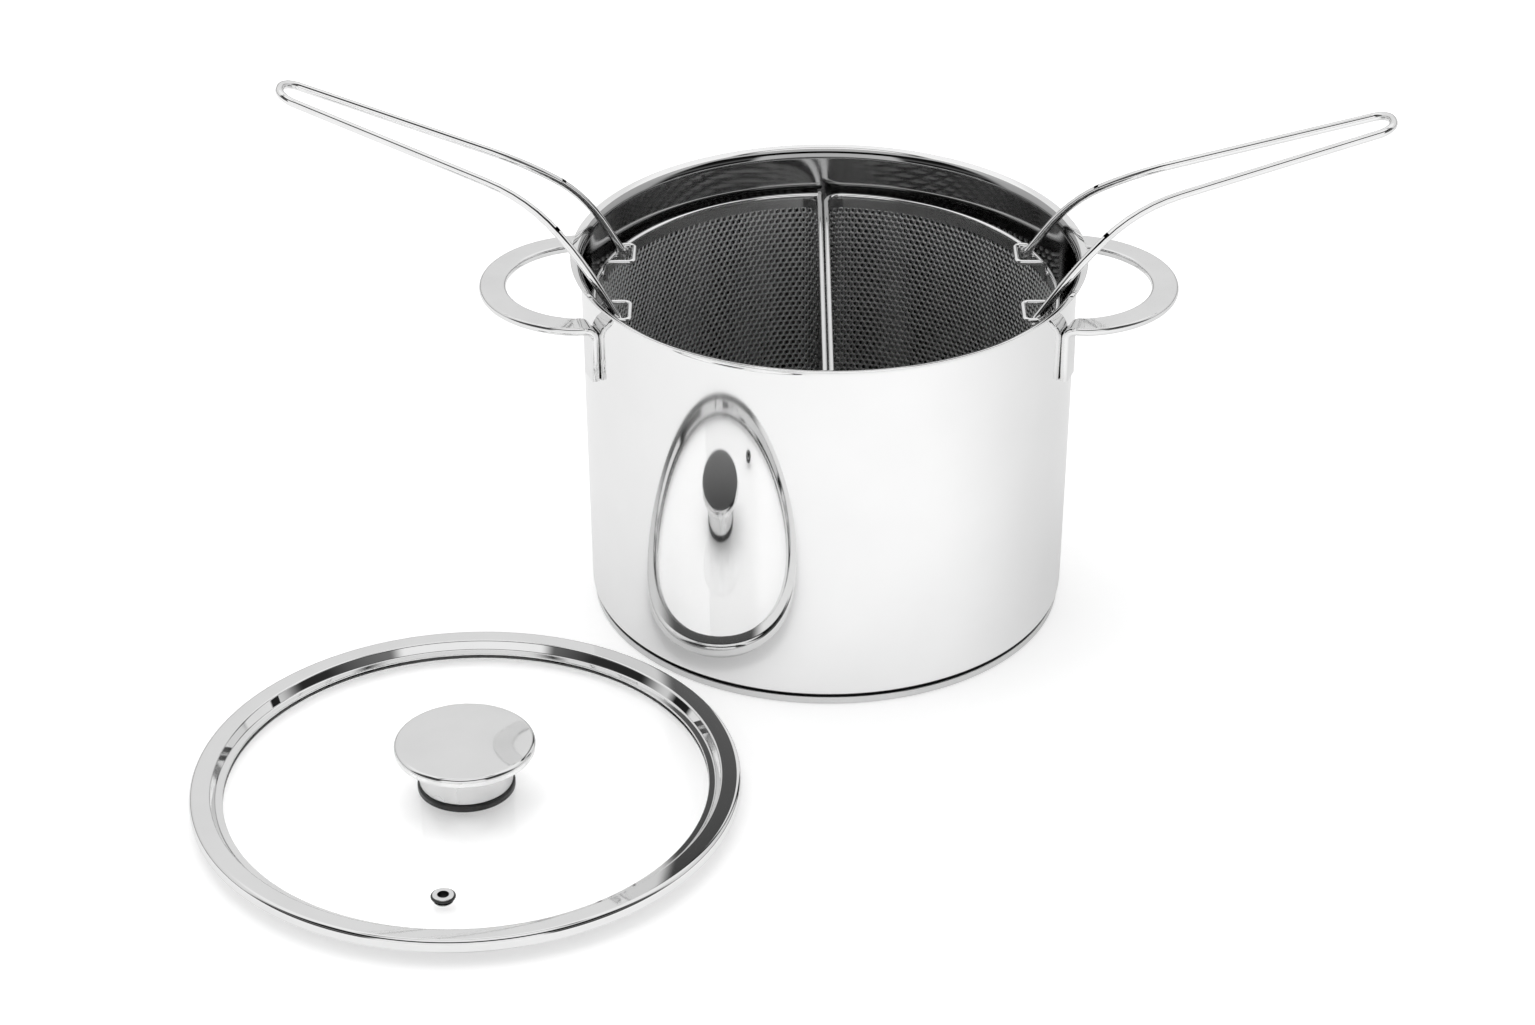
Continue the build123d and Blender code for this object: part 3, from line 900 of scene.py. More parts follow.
@dataclass
class Pot:
    """Drawn pot with its closed base and its two flat loop handles, in millimetres."""

    # Shell: the wall opens from its foot to its top and ends in a flared lip
    rim_radius: float = 125.0
    height: float = 185.0
    sheet: float = 0.9
    wall_top_radius: float = 120.0
    wall_foot_radius: float = 118.0
    foot_bend: float = 5.0
    lip_bend: float = 5.0
    lip_rise_degrees: float = 19.3
    # Base: the dish ends below the core's upper face, which leaves a groove
    core_thickness: float = 3.4
    cap_sheet: float = 0.6
    cap_radius: float = 116.8
    cap_height: float = 4.2
    cap_bend: float = 1.2
    # Handles: a flat bar whose tab lies on the wall, turns out over its bend and runs round a loop
    bar_width: float = 13.0
    bar_thickness: float = 4.0
    bar_edge: float = 1.7
    loop_radius: float = 46.0
    loop_reach: float = 169.5
    loop_top: float = 169.0
    tab_foot: float = 140.0
    tab_bend: float = 5.0
    tab_run: float = 1.0
    side_bend: float = 18.0
    # Steps round the pot, and radii of the rings that keep a level sheet's faces short
    segments: int = 256
    floor_rings: tuple[float, ...] = (40.0, 80.0)
    core_crease_degrees: float = 40.0

    # Steps round the bar's edges, points of its runs, and the least distance on after the tab's bend
    BAR_STEP_DEGREES = 15
    TAB_POINTS = 12
    RUN_POINTS = 3
    BEND_POINTS = 8
    LOOP_POINTS = 40
    LEAST_STEP = 0.3

    def wall_radius(self, height: float) -> float:
        """Outer radius of the wall at a height, evenly from its foot to its top."""
        share = (height - self.floor_underside) / (self.neck_height - self.floor_underside)
        return self.wall_foot_radius + (self.wall_top_radius - self.wall_foot_radius) * share

    @property
    def floor_underside(self) -> float:
        """Height of the pot's floor sheet over the base."""
        return self.cap_sheet + self.core_thickness

    @property
    def lip_end(self) -> tuple[float, float]:
        """Middle of the lip's edge, half a sheet in from the rim and the top, square to the lip.

        Returns:
            Radius and height.
        """
        rise = math.radians(self.lip_rise_degrees)
        half = self.sheet / 2
        return self.rim_radius - half - half * math.sin(rise), self.height - half * math.cos(rise)

    @property
    def neck_height(self) -> float:
        """Height at which the wall and the lip would meet without a bend.

        Returns:
            The lip's edge less the tangent of its rise times its run from the wall.
        """
        rise = math.radians(self.lip_rise_degrees)
        half = self.sheet / 2
        return self.height - half * math.cos(rise) - (
            self.rim_radius - half * math.sin(rise) - self.wall_top_radius
        ) * math.tan(rise)

    def build(self) -> None:
        """Make the shell, the base and the handles."""
        self.build_shell()
        self.build_base()
        for side in Side:
            self.build_handle(side)

    def dish_profile(self, corners: list, bends: list, sheet: float) -> Array:
        """Section of a dish: the outline of a sheet about its middle line, closed on the axis.

        Args:
            corners: corners of the middle line, from the axis outwards.
            bends: radius at each inner corner.
            sheet: thickness of the sheet.

        Returns:
            Radius and height of each point, with the solid to the left of their direction.
        """
        middle = rounded(corners, bends)
        rings = [(ring, middle[0, 1]) for ring in self.floor_rings]
        profile = sheet_loop(np.concatenate([middle[:1], rings, middle[1:]]), sheet)
        profile[[0, -1], 0] = 0
        return profile[::-1]

    def build_shell(self) -> None:
        """Shell: its middle line turned about the axis, polished outside and, a little less, inside, where it
        is painted darker as shade.
        """
        half = self.sheet / 2
        floor = self.floor_underside + half
        corners = [
            (0, floor),
            (self.wall_radius(floor) - half, floor),
            (self.wall_radius(self.neck_height) - half, self.neck_height),
            self.lip_end,
        ]
        profile = self.dish_profile(corners, [self.foot_bend, self.lip_bend], self.sheet)
        outside = np.arange(len(profile) - 1) < len(profile) // 2 + EDGE_STEPS
        # Inside, the steel is painted darker as the shade in the pot
        finishes = (Finish.BODY_INSIDE_SHADED, Finish.BODY_OUTSIDE)
        Piece("pot_shell", "pot", ("pot_body",), "polished_steel", finishes).make(
            revolve(profile, self.segments), second=np.repeat(outside, self.segments)
        )

    def build_base(self) -> None:
        """Base: the aluminium core that shows in the groove, and the steel dish under it."""
        inner = self.cap_radius - self.cap_sheet
        low, high = self.cap_sheet, self.floor_underside
        core = [(0, low), (inner, low), (inner, high), (0, high)]
        Piece("base_core_disc", "pot", ("base_core",), "base_aluminium", (Finish.BASE_CORE,)).make(
            revolve(np.array(core), self.segments), crease_degrees=self.core_crease_degrees
        )
        half = self.cap_sheet / 2
        edge = self.cap_radius - half
        corners = [(0, half), (edge, half), (edge, self.cap_height - half)]
        Piece("base_dish", "pot", ("base_cap",), "base_steel", (Finish.BASE_DISH,)).make(
            revolve(self.dish_profile(corners, [self.cap_bend], self.cap_sheet), self.segments)
        )

    def handle_plan(self) -> tuple[Array, Array]:
        """Middle line of the handle seen from above, from the wall to the far end of the loop.

        A straight run square to the wall, an arc tangent to it that touches the loop's circle from
        inside, and the loop's circle. The arc's centre lies side_bend from the run and
        loop_radius - side_bend from the loop's centre.

        Returns:
            Points and directions.
        """
        half = self.bar_thickness / 2
        start = self.wall_radius(self.tab_foot) + half
        joint = start + self.tab_bend + self.tab_run
        centre = self.loop_reach - self.bar_width / 2 - self.loop_radius
        across = (joint**2 + centre**2 - self.loop_radius**2) / (2 * centre)
        angle = math.acos(across / joint)
        run = np.array([math.cos(angle), math.sin(angle)])
        right = np.array([run[1], -run[0]])
        middle = np.array([centre, 0.0])
        gap = self.loop_radius - self.side_bend
        offset = self.side_bend * right - middle
        along = -(offset @ run) + math.sqrt((offset @ run) ** 2 - offset @ offset + gap**2)
        bend_centre = along * run + self.side_bend * right
        touch = bend_centre - middle
        touch_angle = math.atan2(touch[1], touch[0])
        run_angle = math.atan2(-right[1], -right[0])
        straight = np.linspace(start, along, self.RUN_POINTS)[:-1, None] * run
        bend = np.linspace(run_angle, touch_angle, self.BEND_POINTS)
        loop = np.linspace(touch_angle, 0, self.LOOP_POINTS)[1:]
        round_bend = bend_centre + self.side_bend * np.stack([np.cos(bend), np.sin(bend)], axis=1)
        round_loop = middle + self.loop_radius * np.stack([np.cos(loop), np.sin(loop)], axis=1)
        points = np.concatenate([straight, round_bend, round_loop])
        turns = np.concatenate([np.full(len(straight), run_angle), bend, loop])
        directions = np.stack([np.sin(turns), -np.cos(turns)], axis=1)
        return points, directions

    def build_handle(self, side: Side) -> None:
        """Handle: a rounded bar carried along the tab, its bend and the loop, and back on the other side.

        Over the bend the bar's height is tab_bend * sin a and its distance along the plan is
        tab_bend * (1 - cos a).

        Args:
            side: side of the pot.
        """
        plan, headings = self.handle_plan()
        travel = np.concatenate([[0], np.cumsum(np.linalg.norm(np.diff(plan, axis=0), axis=1))])
        bend = np.linspace(0, math.pi / 2, self.TAB_POINTS)
        middle_height = self.loop_top - self.bar_thickness / 2
        bend_foot = middle_height - self.tab_bend
        beyond = travel[travel > self.tab_bend + self.LEAST_STEP]
        tab = [self.tab_foot, (self.tab_foot + bend_foot) / 2]
        distance = np.concatenate([0 * np.array(tab), self.tab_bend * (1 - np.cos(bend)), beyond])
        height = np.concatenate(
            [tab, bend_foot + self.tab_bend * np.sin(bend), np.full(len(beyond), middle_height)]
        )
        climb = np.concatenate([np.full(len(tab), math.pi / 2), math.pi / 2 - bend, 0 * beyond])
        place = np.stack([np.interp(distance, travel, plan[:, axis]) for axis in (0, 1)], axis=1)
        heading = np.stack([np.interp(distance, travel, headings[:, axis]) for axis in (0, 1)], axis=1)
        heading /= np.linalg.norm(heading, axis=1)[:, None]
        path = np.column_stack([place, height])
        across = np.column_stack([heading[:, 1], -heading[:, 0], 0 * climb])
        upward = np.column_stack([-heading * np.sin(climb)[:, None], np.cos(climb)])
        path, across, upward = (
            np.concatenate([half, (half * (1, -1, 1))[-2::-1]]) for half in (path, across, upward)
        )
        width, thickness = self.bar_width / 2, self.bar_thickness / 2
        outline = [(-width, -thickness), (width, -thickness), (width, thickness), (-width, thickness)]
        section = rounded(outline, [self.bar_edge] * len(outline), True, self.BAR_STEP_DEGREES)
        surface = sweep(path, section, across, upward)
        node = f"{side.label}_pot_handle"
        Piece(f"{side.label}_loop_handle", "pot", (node,), "handle_steel", (Finish.HANDLE_BAR,)).make(
            surface.turned(side)
        )


@dataclass(frozen=True)
class Hairpin:
    """Wire handle of a basket: two turned-out feet and legs that close in to a loop, in millimetres.

    Attributes:
        wire: thickness of the wire.
        pivot: distance of the feet from the pot's axis, and their height.
        foot_side: distance of a foot's end from the middle.
        sides: distances of the leg, shoulder, knee and tip from the middle.
        lengths: lengths of the leg, shoulder and outer run.
        drop_degrees: angles by which the shoulder and the outer run drop below the leg.
        bends: radii at the leg's foot, shoulder, knee and tip.
        flats: faces round the wire.
    """

    # Largest turn between two points of a bend
    STEP_DEGREES = 5

    wire: float = 4.0
    pivot: tuple[float, float] = (98.3, 164.5)
    foot_side: float = 44.0
    sides: tuple[float, ...] = (36.0, 34.6, 19.0, 9.3)
    lengths: tuple[float, float, float] = (37.0, 35.0, 126.0)
    drop_degrees: tuple[float, float] = (17.5, 38.5)
    bends: tuple[float, ...] = (4.0, 80.0, 85.0, 9.0)
    flats: int = 24

    def surface(self, lean_degrees: float) -> Surface:
        """The wire, turned up about its feet.

        The shoulder ends at the knee, leg + shoulder * (cos, -sin) of its drop, and the outer run
        goes on from there in the same way.

        Args:
            lean_degrees: angle between the leg and the level.

        Returns:
            The surface, for the basket on the right.
        """
        leg, shoulder, outer = self.lengths
        first, second = (math.radians(drop) for drop in self.drop_degrees)
        knee = np.array([leg + shoulder * math.cos(first), -shoulder * math.sin(first)])
        tip = knee + outer * np.array([math.cos(second), -math.sin(second)])
        route = [(0, 0), (0, 0), (leg, 0), tuple(knee), tuple(tip)]
        half = [(along, side, up) for (along, up), side in zip(route, (self.foot_side, *self.sides))]
        other = [(along, -across, up) for along, across, up in reversed(half)]
        path = rounded(half + other, self.bends + self.bends[::-1], step_degrees=self.STEP_DEGREES)
        lean = math.radians(lean_degrees)
        level, rise = math.cos(lean), math.sin(lean)
        turn = np.array([[level, 0, rise], [0, 1, 0], [-rise, 0, level]])
        pivot = np.array([self.pivot[0], 0, self.pivot[1]])
        return wire(path @ turn + pivot, self.wire / 2, tuple(turn[2]), self.flats)


@dataclass
class Basket:
    """Half-moon strainer basket with its rim wire, two ears and hinged wire handle, in millimetres."""

    side: Side
    lean_degrees: float
    # Place of the pair along x, and the half-moon of the wall and the rim wire
    shift: float = -1.4
    radius: float = 112.5
    wire: float = 2.6
    wire_gap: float = 0.7
    corner: float = 8.0
    rim_height: float = 162.0
    # Tray: its underside, its turned-up edge, and the middle of its border as a share of the radius
    underside: float = 5.2
    tray_height: float = 9.0
    tray_bend: float = 3.0
    tray_middle_share: float = 0.42
    # Length of the rim wire past its butt, plain margins beside the holes, and the share of a margin
    # after which its faces turn to its edge
    stub: float = 2.5
    margin: float = 3.4
    tray_margin: float = 3.6
    rounded_share: float = 0.04
    # Ears: from the bars inside the rim to the legs at it
    ear_top: float = 168.1
    ear_reach: float = 94.0
    ear_inner: float = 21.7
    ear_outer: float = 41.0
    ear_bend: float = 3.0
    ear_leg: float = 10.0
    # Weld beads: their radius, and their height as a share of it
    weld: float = 1.7
    weld_share: float = 0.8
    hairpin: Hairpin = Hairpin()
    punching: Perforation = Perforation()
    pieces_round: int = 3

    # Sides of a hole that carry the painted glint, anticlockwise: the lower ones away from the pot's middle,
    # which face the light from above
    LIT_SIDES = {Side.LEFT: (5, 6, 7), Side.RIGHT: (3, 4, 5)}
    # Points round the tray's border and its edge, over the rim's corner and along its arc
    BORDER_POINTS = 720
    EDGE_POINTS = 240
    CORNER_POINTS = 14
    ARC_POINTS = 110
    # Points up a weld bead and round it, faces round the wires, and steps round the ears' bends
    BEAD_POINTS = (9, 14)
    RIM_FLATS = 20
    EAR_FLATS = 16
    EAR_STEP_DEGREES = 10

    @property
    def outline(self) -> HalfMoon:
        """Middle line of the wall and the rim wire, seen from above."""
        return HalfMoon(self.radius, self.wire_gap / 2 + self.wire / 2, self.corner)

    @property
    def body(self) -> str:
        """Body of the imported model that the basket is."""
        return f"{self.side.label}_basket"

    def piece(self, name: str, *nodes: str, finish: Finish = Finish.PUNCHED_SHEET) -> Piece:
        """Piece of this basket, named for its side.

        Args:
            name: name of the piece, without its side.
            nodes: nodes that it stands for, without the basket's name.
            finish: its finish; punched sheet comes with a glint painted on one side of each hole's edge.

        Returns:
            The piece.
        """
        slot = "basket_sheet" if finish is Finish.PUNCHED_SHEET else "basket_wire"
        own = tuple(f"{self.body}_{node}" for node in nodes)
        # The punched sheet's second finish is the pale glint painted on the holes' edges
        finishes = (finish, Finish.HOLE_GLINT) if finish is Finish.PUNCHED_SHEET else (finish,)
        return Piece(f"{self.side.label}_{name}", self.body, own, slot, finishes)

    def placed(self, surface: Surface) -> Surface:
        """Surface of the right basket, brought to this basket's place."""
        return surface.turned(self.side, self.shift)

    def build(self) -> None:
        """Make the wall, the tray and the wires."""
        self.build_wall()
        self.build_tray()
        self.build_rim()
        for name, sign in (("back_ear", 1), ("front_ear", -1)):
            self.build_ear(name, sign)
        self.build_handle()

    def build_wall(self) -> None:
        """Wall: a punched strip bent to the half-moon, in a few pieces that meet edge to edge.

        A point across and up the flat strip goes to the outline at that distance, plus its offset
        outwards, and keeps its height. The strip is stretched a little, so that whole columns of
        holes close on themselves.
        """
        outline, step = self.outline, self.punching.key_step
        foot, top = self.underside + self.tray_bend, self.rim_height - self.wire / 2
        girth = sum(outline.lengths)
        columns = round(girth / self.punching.pitch)
        stretch = girth / (columns * self.punching.pitch)
        lowest, highest = foot + self.margin / 2, top - self.margin
        rows = int((highest - lowest) / (3 * step[1])) - 1
        rise = (lowest + highest - (rows - 1) * 3 * step[1]) / 2
        share = columns / self.pieces_round
        for number in range(self.pieces_round):
            own = np.arange(round(number * share), round((number + 1) * share))
            column, row = (axis.ravel() for axis in np.meshgrid(own, np.arange(rows)))
            pattern = self.punching.tiles(column, row, True, self.LIT_SIDES[self.side])
            flat = np.concatenate([pattern["nodes"], pattern["holes"]])
            across = np.arange(pattern["keys"][:, 0].min(), pattern["keys"][:, 0].max() + 1) * step[0]
            levels = pattern["nodes"][:, 1]
            strips = [
                [np.stack([across, np.full_like(across, height)], axis=1) for height in heights]
                for heights in ((levels.min(), foot - rise), (levels.max(), top - rise))
            ]
            surface = Surface()
            lit = self.add_sheet(surface, flat, pattern, stretch, rise)
            for (near, far), flip in zip(strips, (True, False)):
                self.add_margin(surface, near, far, stretch, rise, flip)
            nodes = ("wall",) if number == 0 else ()
            plain = sum(len(group) for group in surface.faces) - len(lit)
            self.piece(f"basket_wall_{number + 1}", *nodes).make(
                self.placed(surface),
                crease_degrees=self.punching.crease_degrees,
                second=np.concatenate([lit, np.zeros(plain, bool)]),
            )

    def bent(self, flat: Array, offset: float | Array, stretch: float, rise: float) -> Array:
        """Points of the strip, bent to the outline at an offset outwards."""
        place, outward = self.outline.at(flat[:, 0] * stretch)
        return np.column_stack([place + outward * offset, flat[:, 1] + rise])

    def add_sheet(self, surface: Surface, flat: Array, pattern: dict, stretch: float, rise: float) -> Array:
        """Add both faces of the punched strip and the walls of its holes.

        Args:
            surface: surface to add to.
            flat: points of the flat pattern.
            pattern: its faces.
            stretch: share by which the pattern is stretched to close on itself.
            rise: height of the pattern's first row.

        Returns:
            Whether each face carries the painted glint at a hole's edge, on the side inside the basket.
        """
        half = self.punching.sheet / 2
        at_hole = (np.arange(len(flat)) >= len(pattern["nodes"]))[:, None]
        offsets = (half, at_hole * self.punching.dimple - half)
        points = [self.bent(flat, offset, stretch, rise) for offset in offsets]
        web = pattern["web"]
        surface.add(
            np.concatenate(points), web[:, ::-1], web + len(flat), self.hole_walls(pattern["rim"], len(flat))
        )
        return np.concatenate([np.zeros(len(web), bool), pattern["lit_web"], pattern["lit_rim"]])

    @staticmethod
    def hole_walls(rim: Array, count: int) -> Array:
        """Faces between the sides of the holes in one face of a sheet and, count points on, the other."""
        return np.column_stack([rim[:, 0], rim[:, 1], rim[:, 1] + count, rim[:, 0] + count])

    def add_margin(
        self, surface: Surface, near: Array, far: Array, stretch: float, rise: float, flip: bool
    ) -> None:
        """Add the plain strip between the holes and an edge of the sheet.

        Args:
            surface: surface to add to.
            near: points along the holes.
            far: points along the edge.
            stretch: share by which the pattern is stretched.
            rise: height of the pattern's first row.
            flip: whether the edge lies below the holes.
        """
        half = self.punching.sheet / 2
        brink = far + (near - far) * self.rounded_share
        flats = [(near, half), (brink, half), (far, half), (far, -half), (brink, -half), (near, -half)]
        lines = [self.bent(flat, offset, stretch, rise) for flat, offset in flats]
        faces = grid_faces(len(lines), len(near), False, closed_columns=False)
        surface.add(np.concatenate(lines), faces if flip else faces[:, ::-1])

    def border_reach(self, points: Array, middle: Array) -> tuple[Array, Array]:
        """How far the tray's border lies from its middle, towards each of some points.

        Args:
            points: points of the floor.
            middle: middle of the tray.

        Returns:
            For each point, its angle about the middle and the border's distance at that angle.
        """
        border = self.outline.inset(self.punching.sheet + self.tray_bend)
        around = np.linspace(0, sum(border.lengths), self.BORDER_POINTS, endpoint=False)
        edge, out = border.at(around)[0] - middle, points - middle
        bearing, own_bearing = (np.arctan2(way[:, 1], way[:, 0]) for way in (edge, out))
        return own_bearing, np.interp(own_bearing, bearing, np.linalg.norm(edge, axis=1), period=FULL_TURN)

    def build_tray(self) -> None:
        """Tray: a punched floor, its plain border, and an edge turned up inside the wall.

        Tiles are kept whose centre lies a margin inside the border. The border's faces run from the
        outermost tile sides straight out from the tray's middle to the outline.
        """
        half, step = self.punching.sheet / 2, self.punching.key_step
        middle = np.array([self.radius * self.tray_middle_share, 0.0])
        columns, rows = int(self.radius / self.punching.pitch), int(self.radius / (3 * step[1]))
        places = np.meshgrid(np.arange(columns), np.arange(-rows, rows + 1))
        column, row = (axis.ravel() for axis in places)
        centre = np.stack([2 * column + row % 2, 3 * row], axis=1) * step
        _, reach = self.border_reach(centre, middle)
        kept = reach - np.linalg.norm(centre - middle, axis=1) > self.tray_margin
        pattern = self.punching.tiles(column[kept], row[kept], False)
        nodes = pattern["nodes"]
        sides = self.outer_sides(pattern["web"], len(nodes))
        ends = np.unique(sides)
        bearing, reach = self.border_reach(nodes[ends], middle)
        far = middle + reach[:, None] * np.column_stack([np.cos(bearing), np.sin(bearing)])
        flat = np.concatenate([nodes, pattern["holes"], far])
        count = len(flat)
        number = np.full(count, -1)
        number[ends] = count - len(far) + np.arange(len(ends))
        border_faces = np.column_stack([sides[:, 1], sides[:, 0], number[sides[:, 0]], number[sides[:, 1]]])
        level = self.underside + half
        points = [np.column_stack([flat, np.full(count, level + offset)]) for offset in (half, -half)]
        web, walls = pattern["web"], self.hole_walls(pattern["rim"], count)
        surface = Surface()
        surface.add(
            np.concatenate(points),
            web,
            web[:, ::-1] + count,
            walls[:, ::-1],
            border_faces,
            border_faces[:, ::-1] + count,
        )
        self.add_tray_edge(surface, level)
        self.piece("basket_tray", "floor").make(
            self.placed(surface), crease_degrees=self.punching.crease_degrees
        )

    @staticmethod
    def outer_sides(web: Array, nodes: int) -> Array:
        """Sides of the pattern that only one triangle has and that join two nodes.

        Args:
            web: triangles of the pattern.
            nodes: count of the nodes, which come before the points of the holes.

        Returns:
            Two corner numbers for each side, in its triangle's direction.
        """
        sides = np.concatenate([web[:, [0, 1]], web[:, [1, 2]], web[:, [2, 0]]])
        sides = sides[(sides < nodes).all(axis=1)]
        _, first, times = np.unique(np.sort(sides, axis=1), axis=0, return_index=True, return_counts=True)
        return sides[first[times == 1]]

    def add_tray_edge(self, surface: Surface, level: float) -> None:
        """Add the tray's turned-up edge: a bent sheet's outline carried round the half-moon.

        A point of it lies at the half-moon's point plus its distance times the outward direction.

        Args:
            surface: surface to add to.
            level: height of the middle of the floor's sheet.
        """
        sheet = self.punching.sheet
        edge = self.underside + self.tray_height
        corners = [(-self.tray_bend - 2 * sheet, level), (-sheet, level), (-sheet, edge)]
        profile = sheet_loop(rounded(corners, [self.tray_bend - sheet]), sheet)
        around = np.linspace(0, sum(self.outline.lengths), self.EDGE_POINTS, endpoint=False)
        place, outward = self.outline.at(around)
        level_points = place[None] + profile[:, :1, None] * outward[None]
        heights = np.broadcast_to(profile[:, 1:, None], (len(profile), len(around), 1))
        points = np.concatenate([level_points, heights], axis=2)
        surface.add(points.reshape(-1, 3), grid_faces(len(profile), len(around), True))

    def build_rim(self) -> None:
        """Rim: one wire along the flat side, round a corner and along the arc, butted at its start.

        The arc runs from the corner to the butt, at the radius times (cos a, sin a).
        """
        outline = self.outline
        ends = np.cumsum(outline.lengths)
        butt = -math.sqrt(self.radius**2 - outline.flat**2)
        angle = math.atan2(butt, outline.flat)
        bends = np.linspace(ends[0], ends[1], self.CORNER_POINTS)
        corner, _ = outline.at(np.nextafter(bends, ends[-1]))
        turns = np.linspace(outline.heading, angle, self.ARC_POINTS)[1:]
        arc = self.radius * np.column_stack([np.cos(turns), np.sin(turns)])
        start = np.array([[outline.flat, butt - self.stub], [outline.flat, 0]])
        path = np.concatenate([start, corner, arc])
        path = np.column_stack([path, np.full(len(path), self.rim_height)])
        surface = wire(path, self.wire / 2, (0, 0, 1), self.RIM_FLATS)
        self.add_bead(surface, (outline.flat, butt, self.rim_height))
        self.piece("basket_rim", "rim_wire", finish=Finish.BRIGHT_WIRE).make(self.placed(surface))

    def add_bead(self, surface: Surface, centre: tuple[float, float, float]) -> None:
        """Add a weld bead: a small flattened ball at a joint of two wires.

        Args:
            surface: surface to add to.
            centre: middle of the joint.
        """
        up, around = self.BEAD_POINTS
        angles = np.linspace(-math.pi / 2, math.pi / 2, up)
        profile = self.weld * np.column_stack([np.cos(angles), self.weld_share * np.sin(angles)])
        ball = revolve(profile, around).moved(centre)
        surface.add(ball.points[0], *ball.faces)

    def build_ear(self, name: str, sign: int) -> None:
        """Ear: a staple with rounded bends, two bars towards the rim and legs down inside it.

        Args:
            name: name of the ear.
            sign: side along y.
        """
        reach = self.radius - self.wire
        foot, radius = self.ear_top - self.ear_leg, self.wire / 2
        rims = [math.sqrt(reach**2 - across**2) for across in (self.ear_inner, self.ear_outer)]
        corners = [
            (rims[0], self.ear_inner, foot),
            (rims[0], self.ear_inner, self.ear_top),
            (self.ear_reach, self.ear_inner, self.ear_top),
            (self.ear_reach, self.ear_outer, self.ear_top),
            (rims[1], self.ear_outer, self.ear_top),
            (rims[1], self.ear_outer, foot),
        ]
        bends = [self.ear_bend] * (len(corners) - 2)
        path = rounded(corners, bends, step_degrees=self.EAR_STEP_DEGREES) * (1, sign, 1)
        surface = wire(path, radius, (1, sign, 1), self.EAR_FLATS)
        for across, rim in zip((self.ear_inner, self.ear_outer), rims):
            outward = np.array([rim, sign * across]) / reach
            place = outward * (self.radius - self.wire / 2)
            self.add_bead(surface, (place[0], place[1], self.rim_height))
        self.piece(f"basket_{name}", name, finish=Finish.BRIGHT_WIRE).make(self.placed(surface))

    def build_handle(self) -> None:
        """Wire handle: the hairpin, which leans on the pot's lip."""
        body = f"{self.side.label}_wire_handle"
        node = f"{self.side.label}_basket_handle"
        Piece(f"{self.side.label}_hairpin", body, (node,), "basket_wire", (Finish.BRIGHT_WIRE,)).make(
            self.placed(self.hairpin.surface(self.lean_degrees))
        )


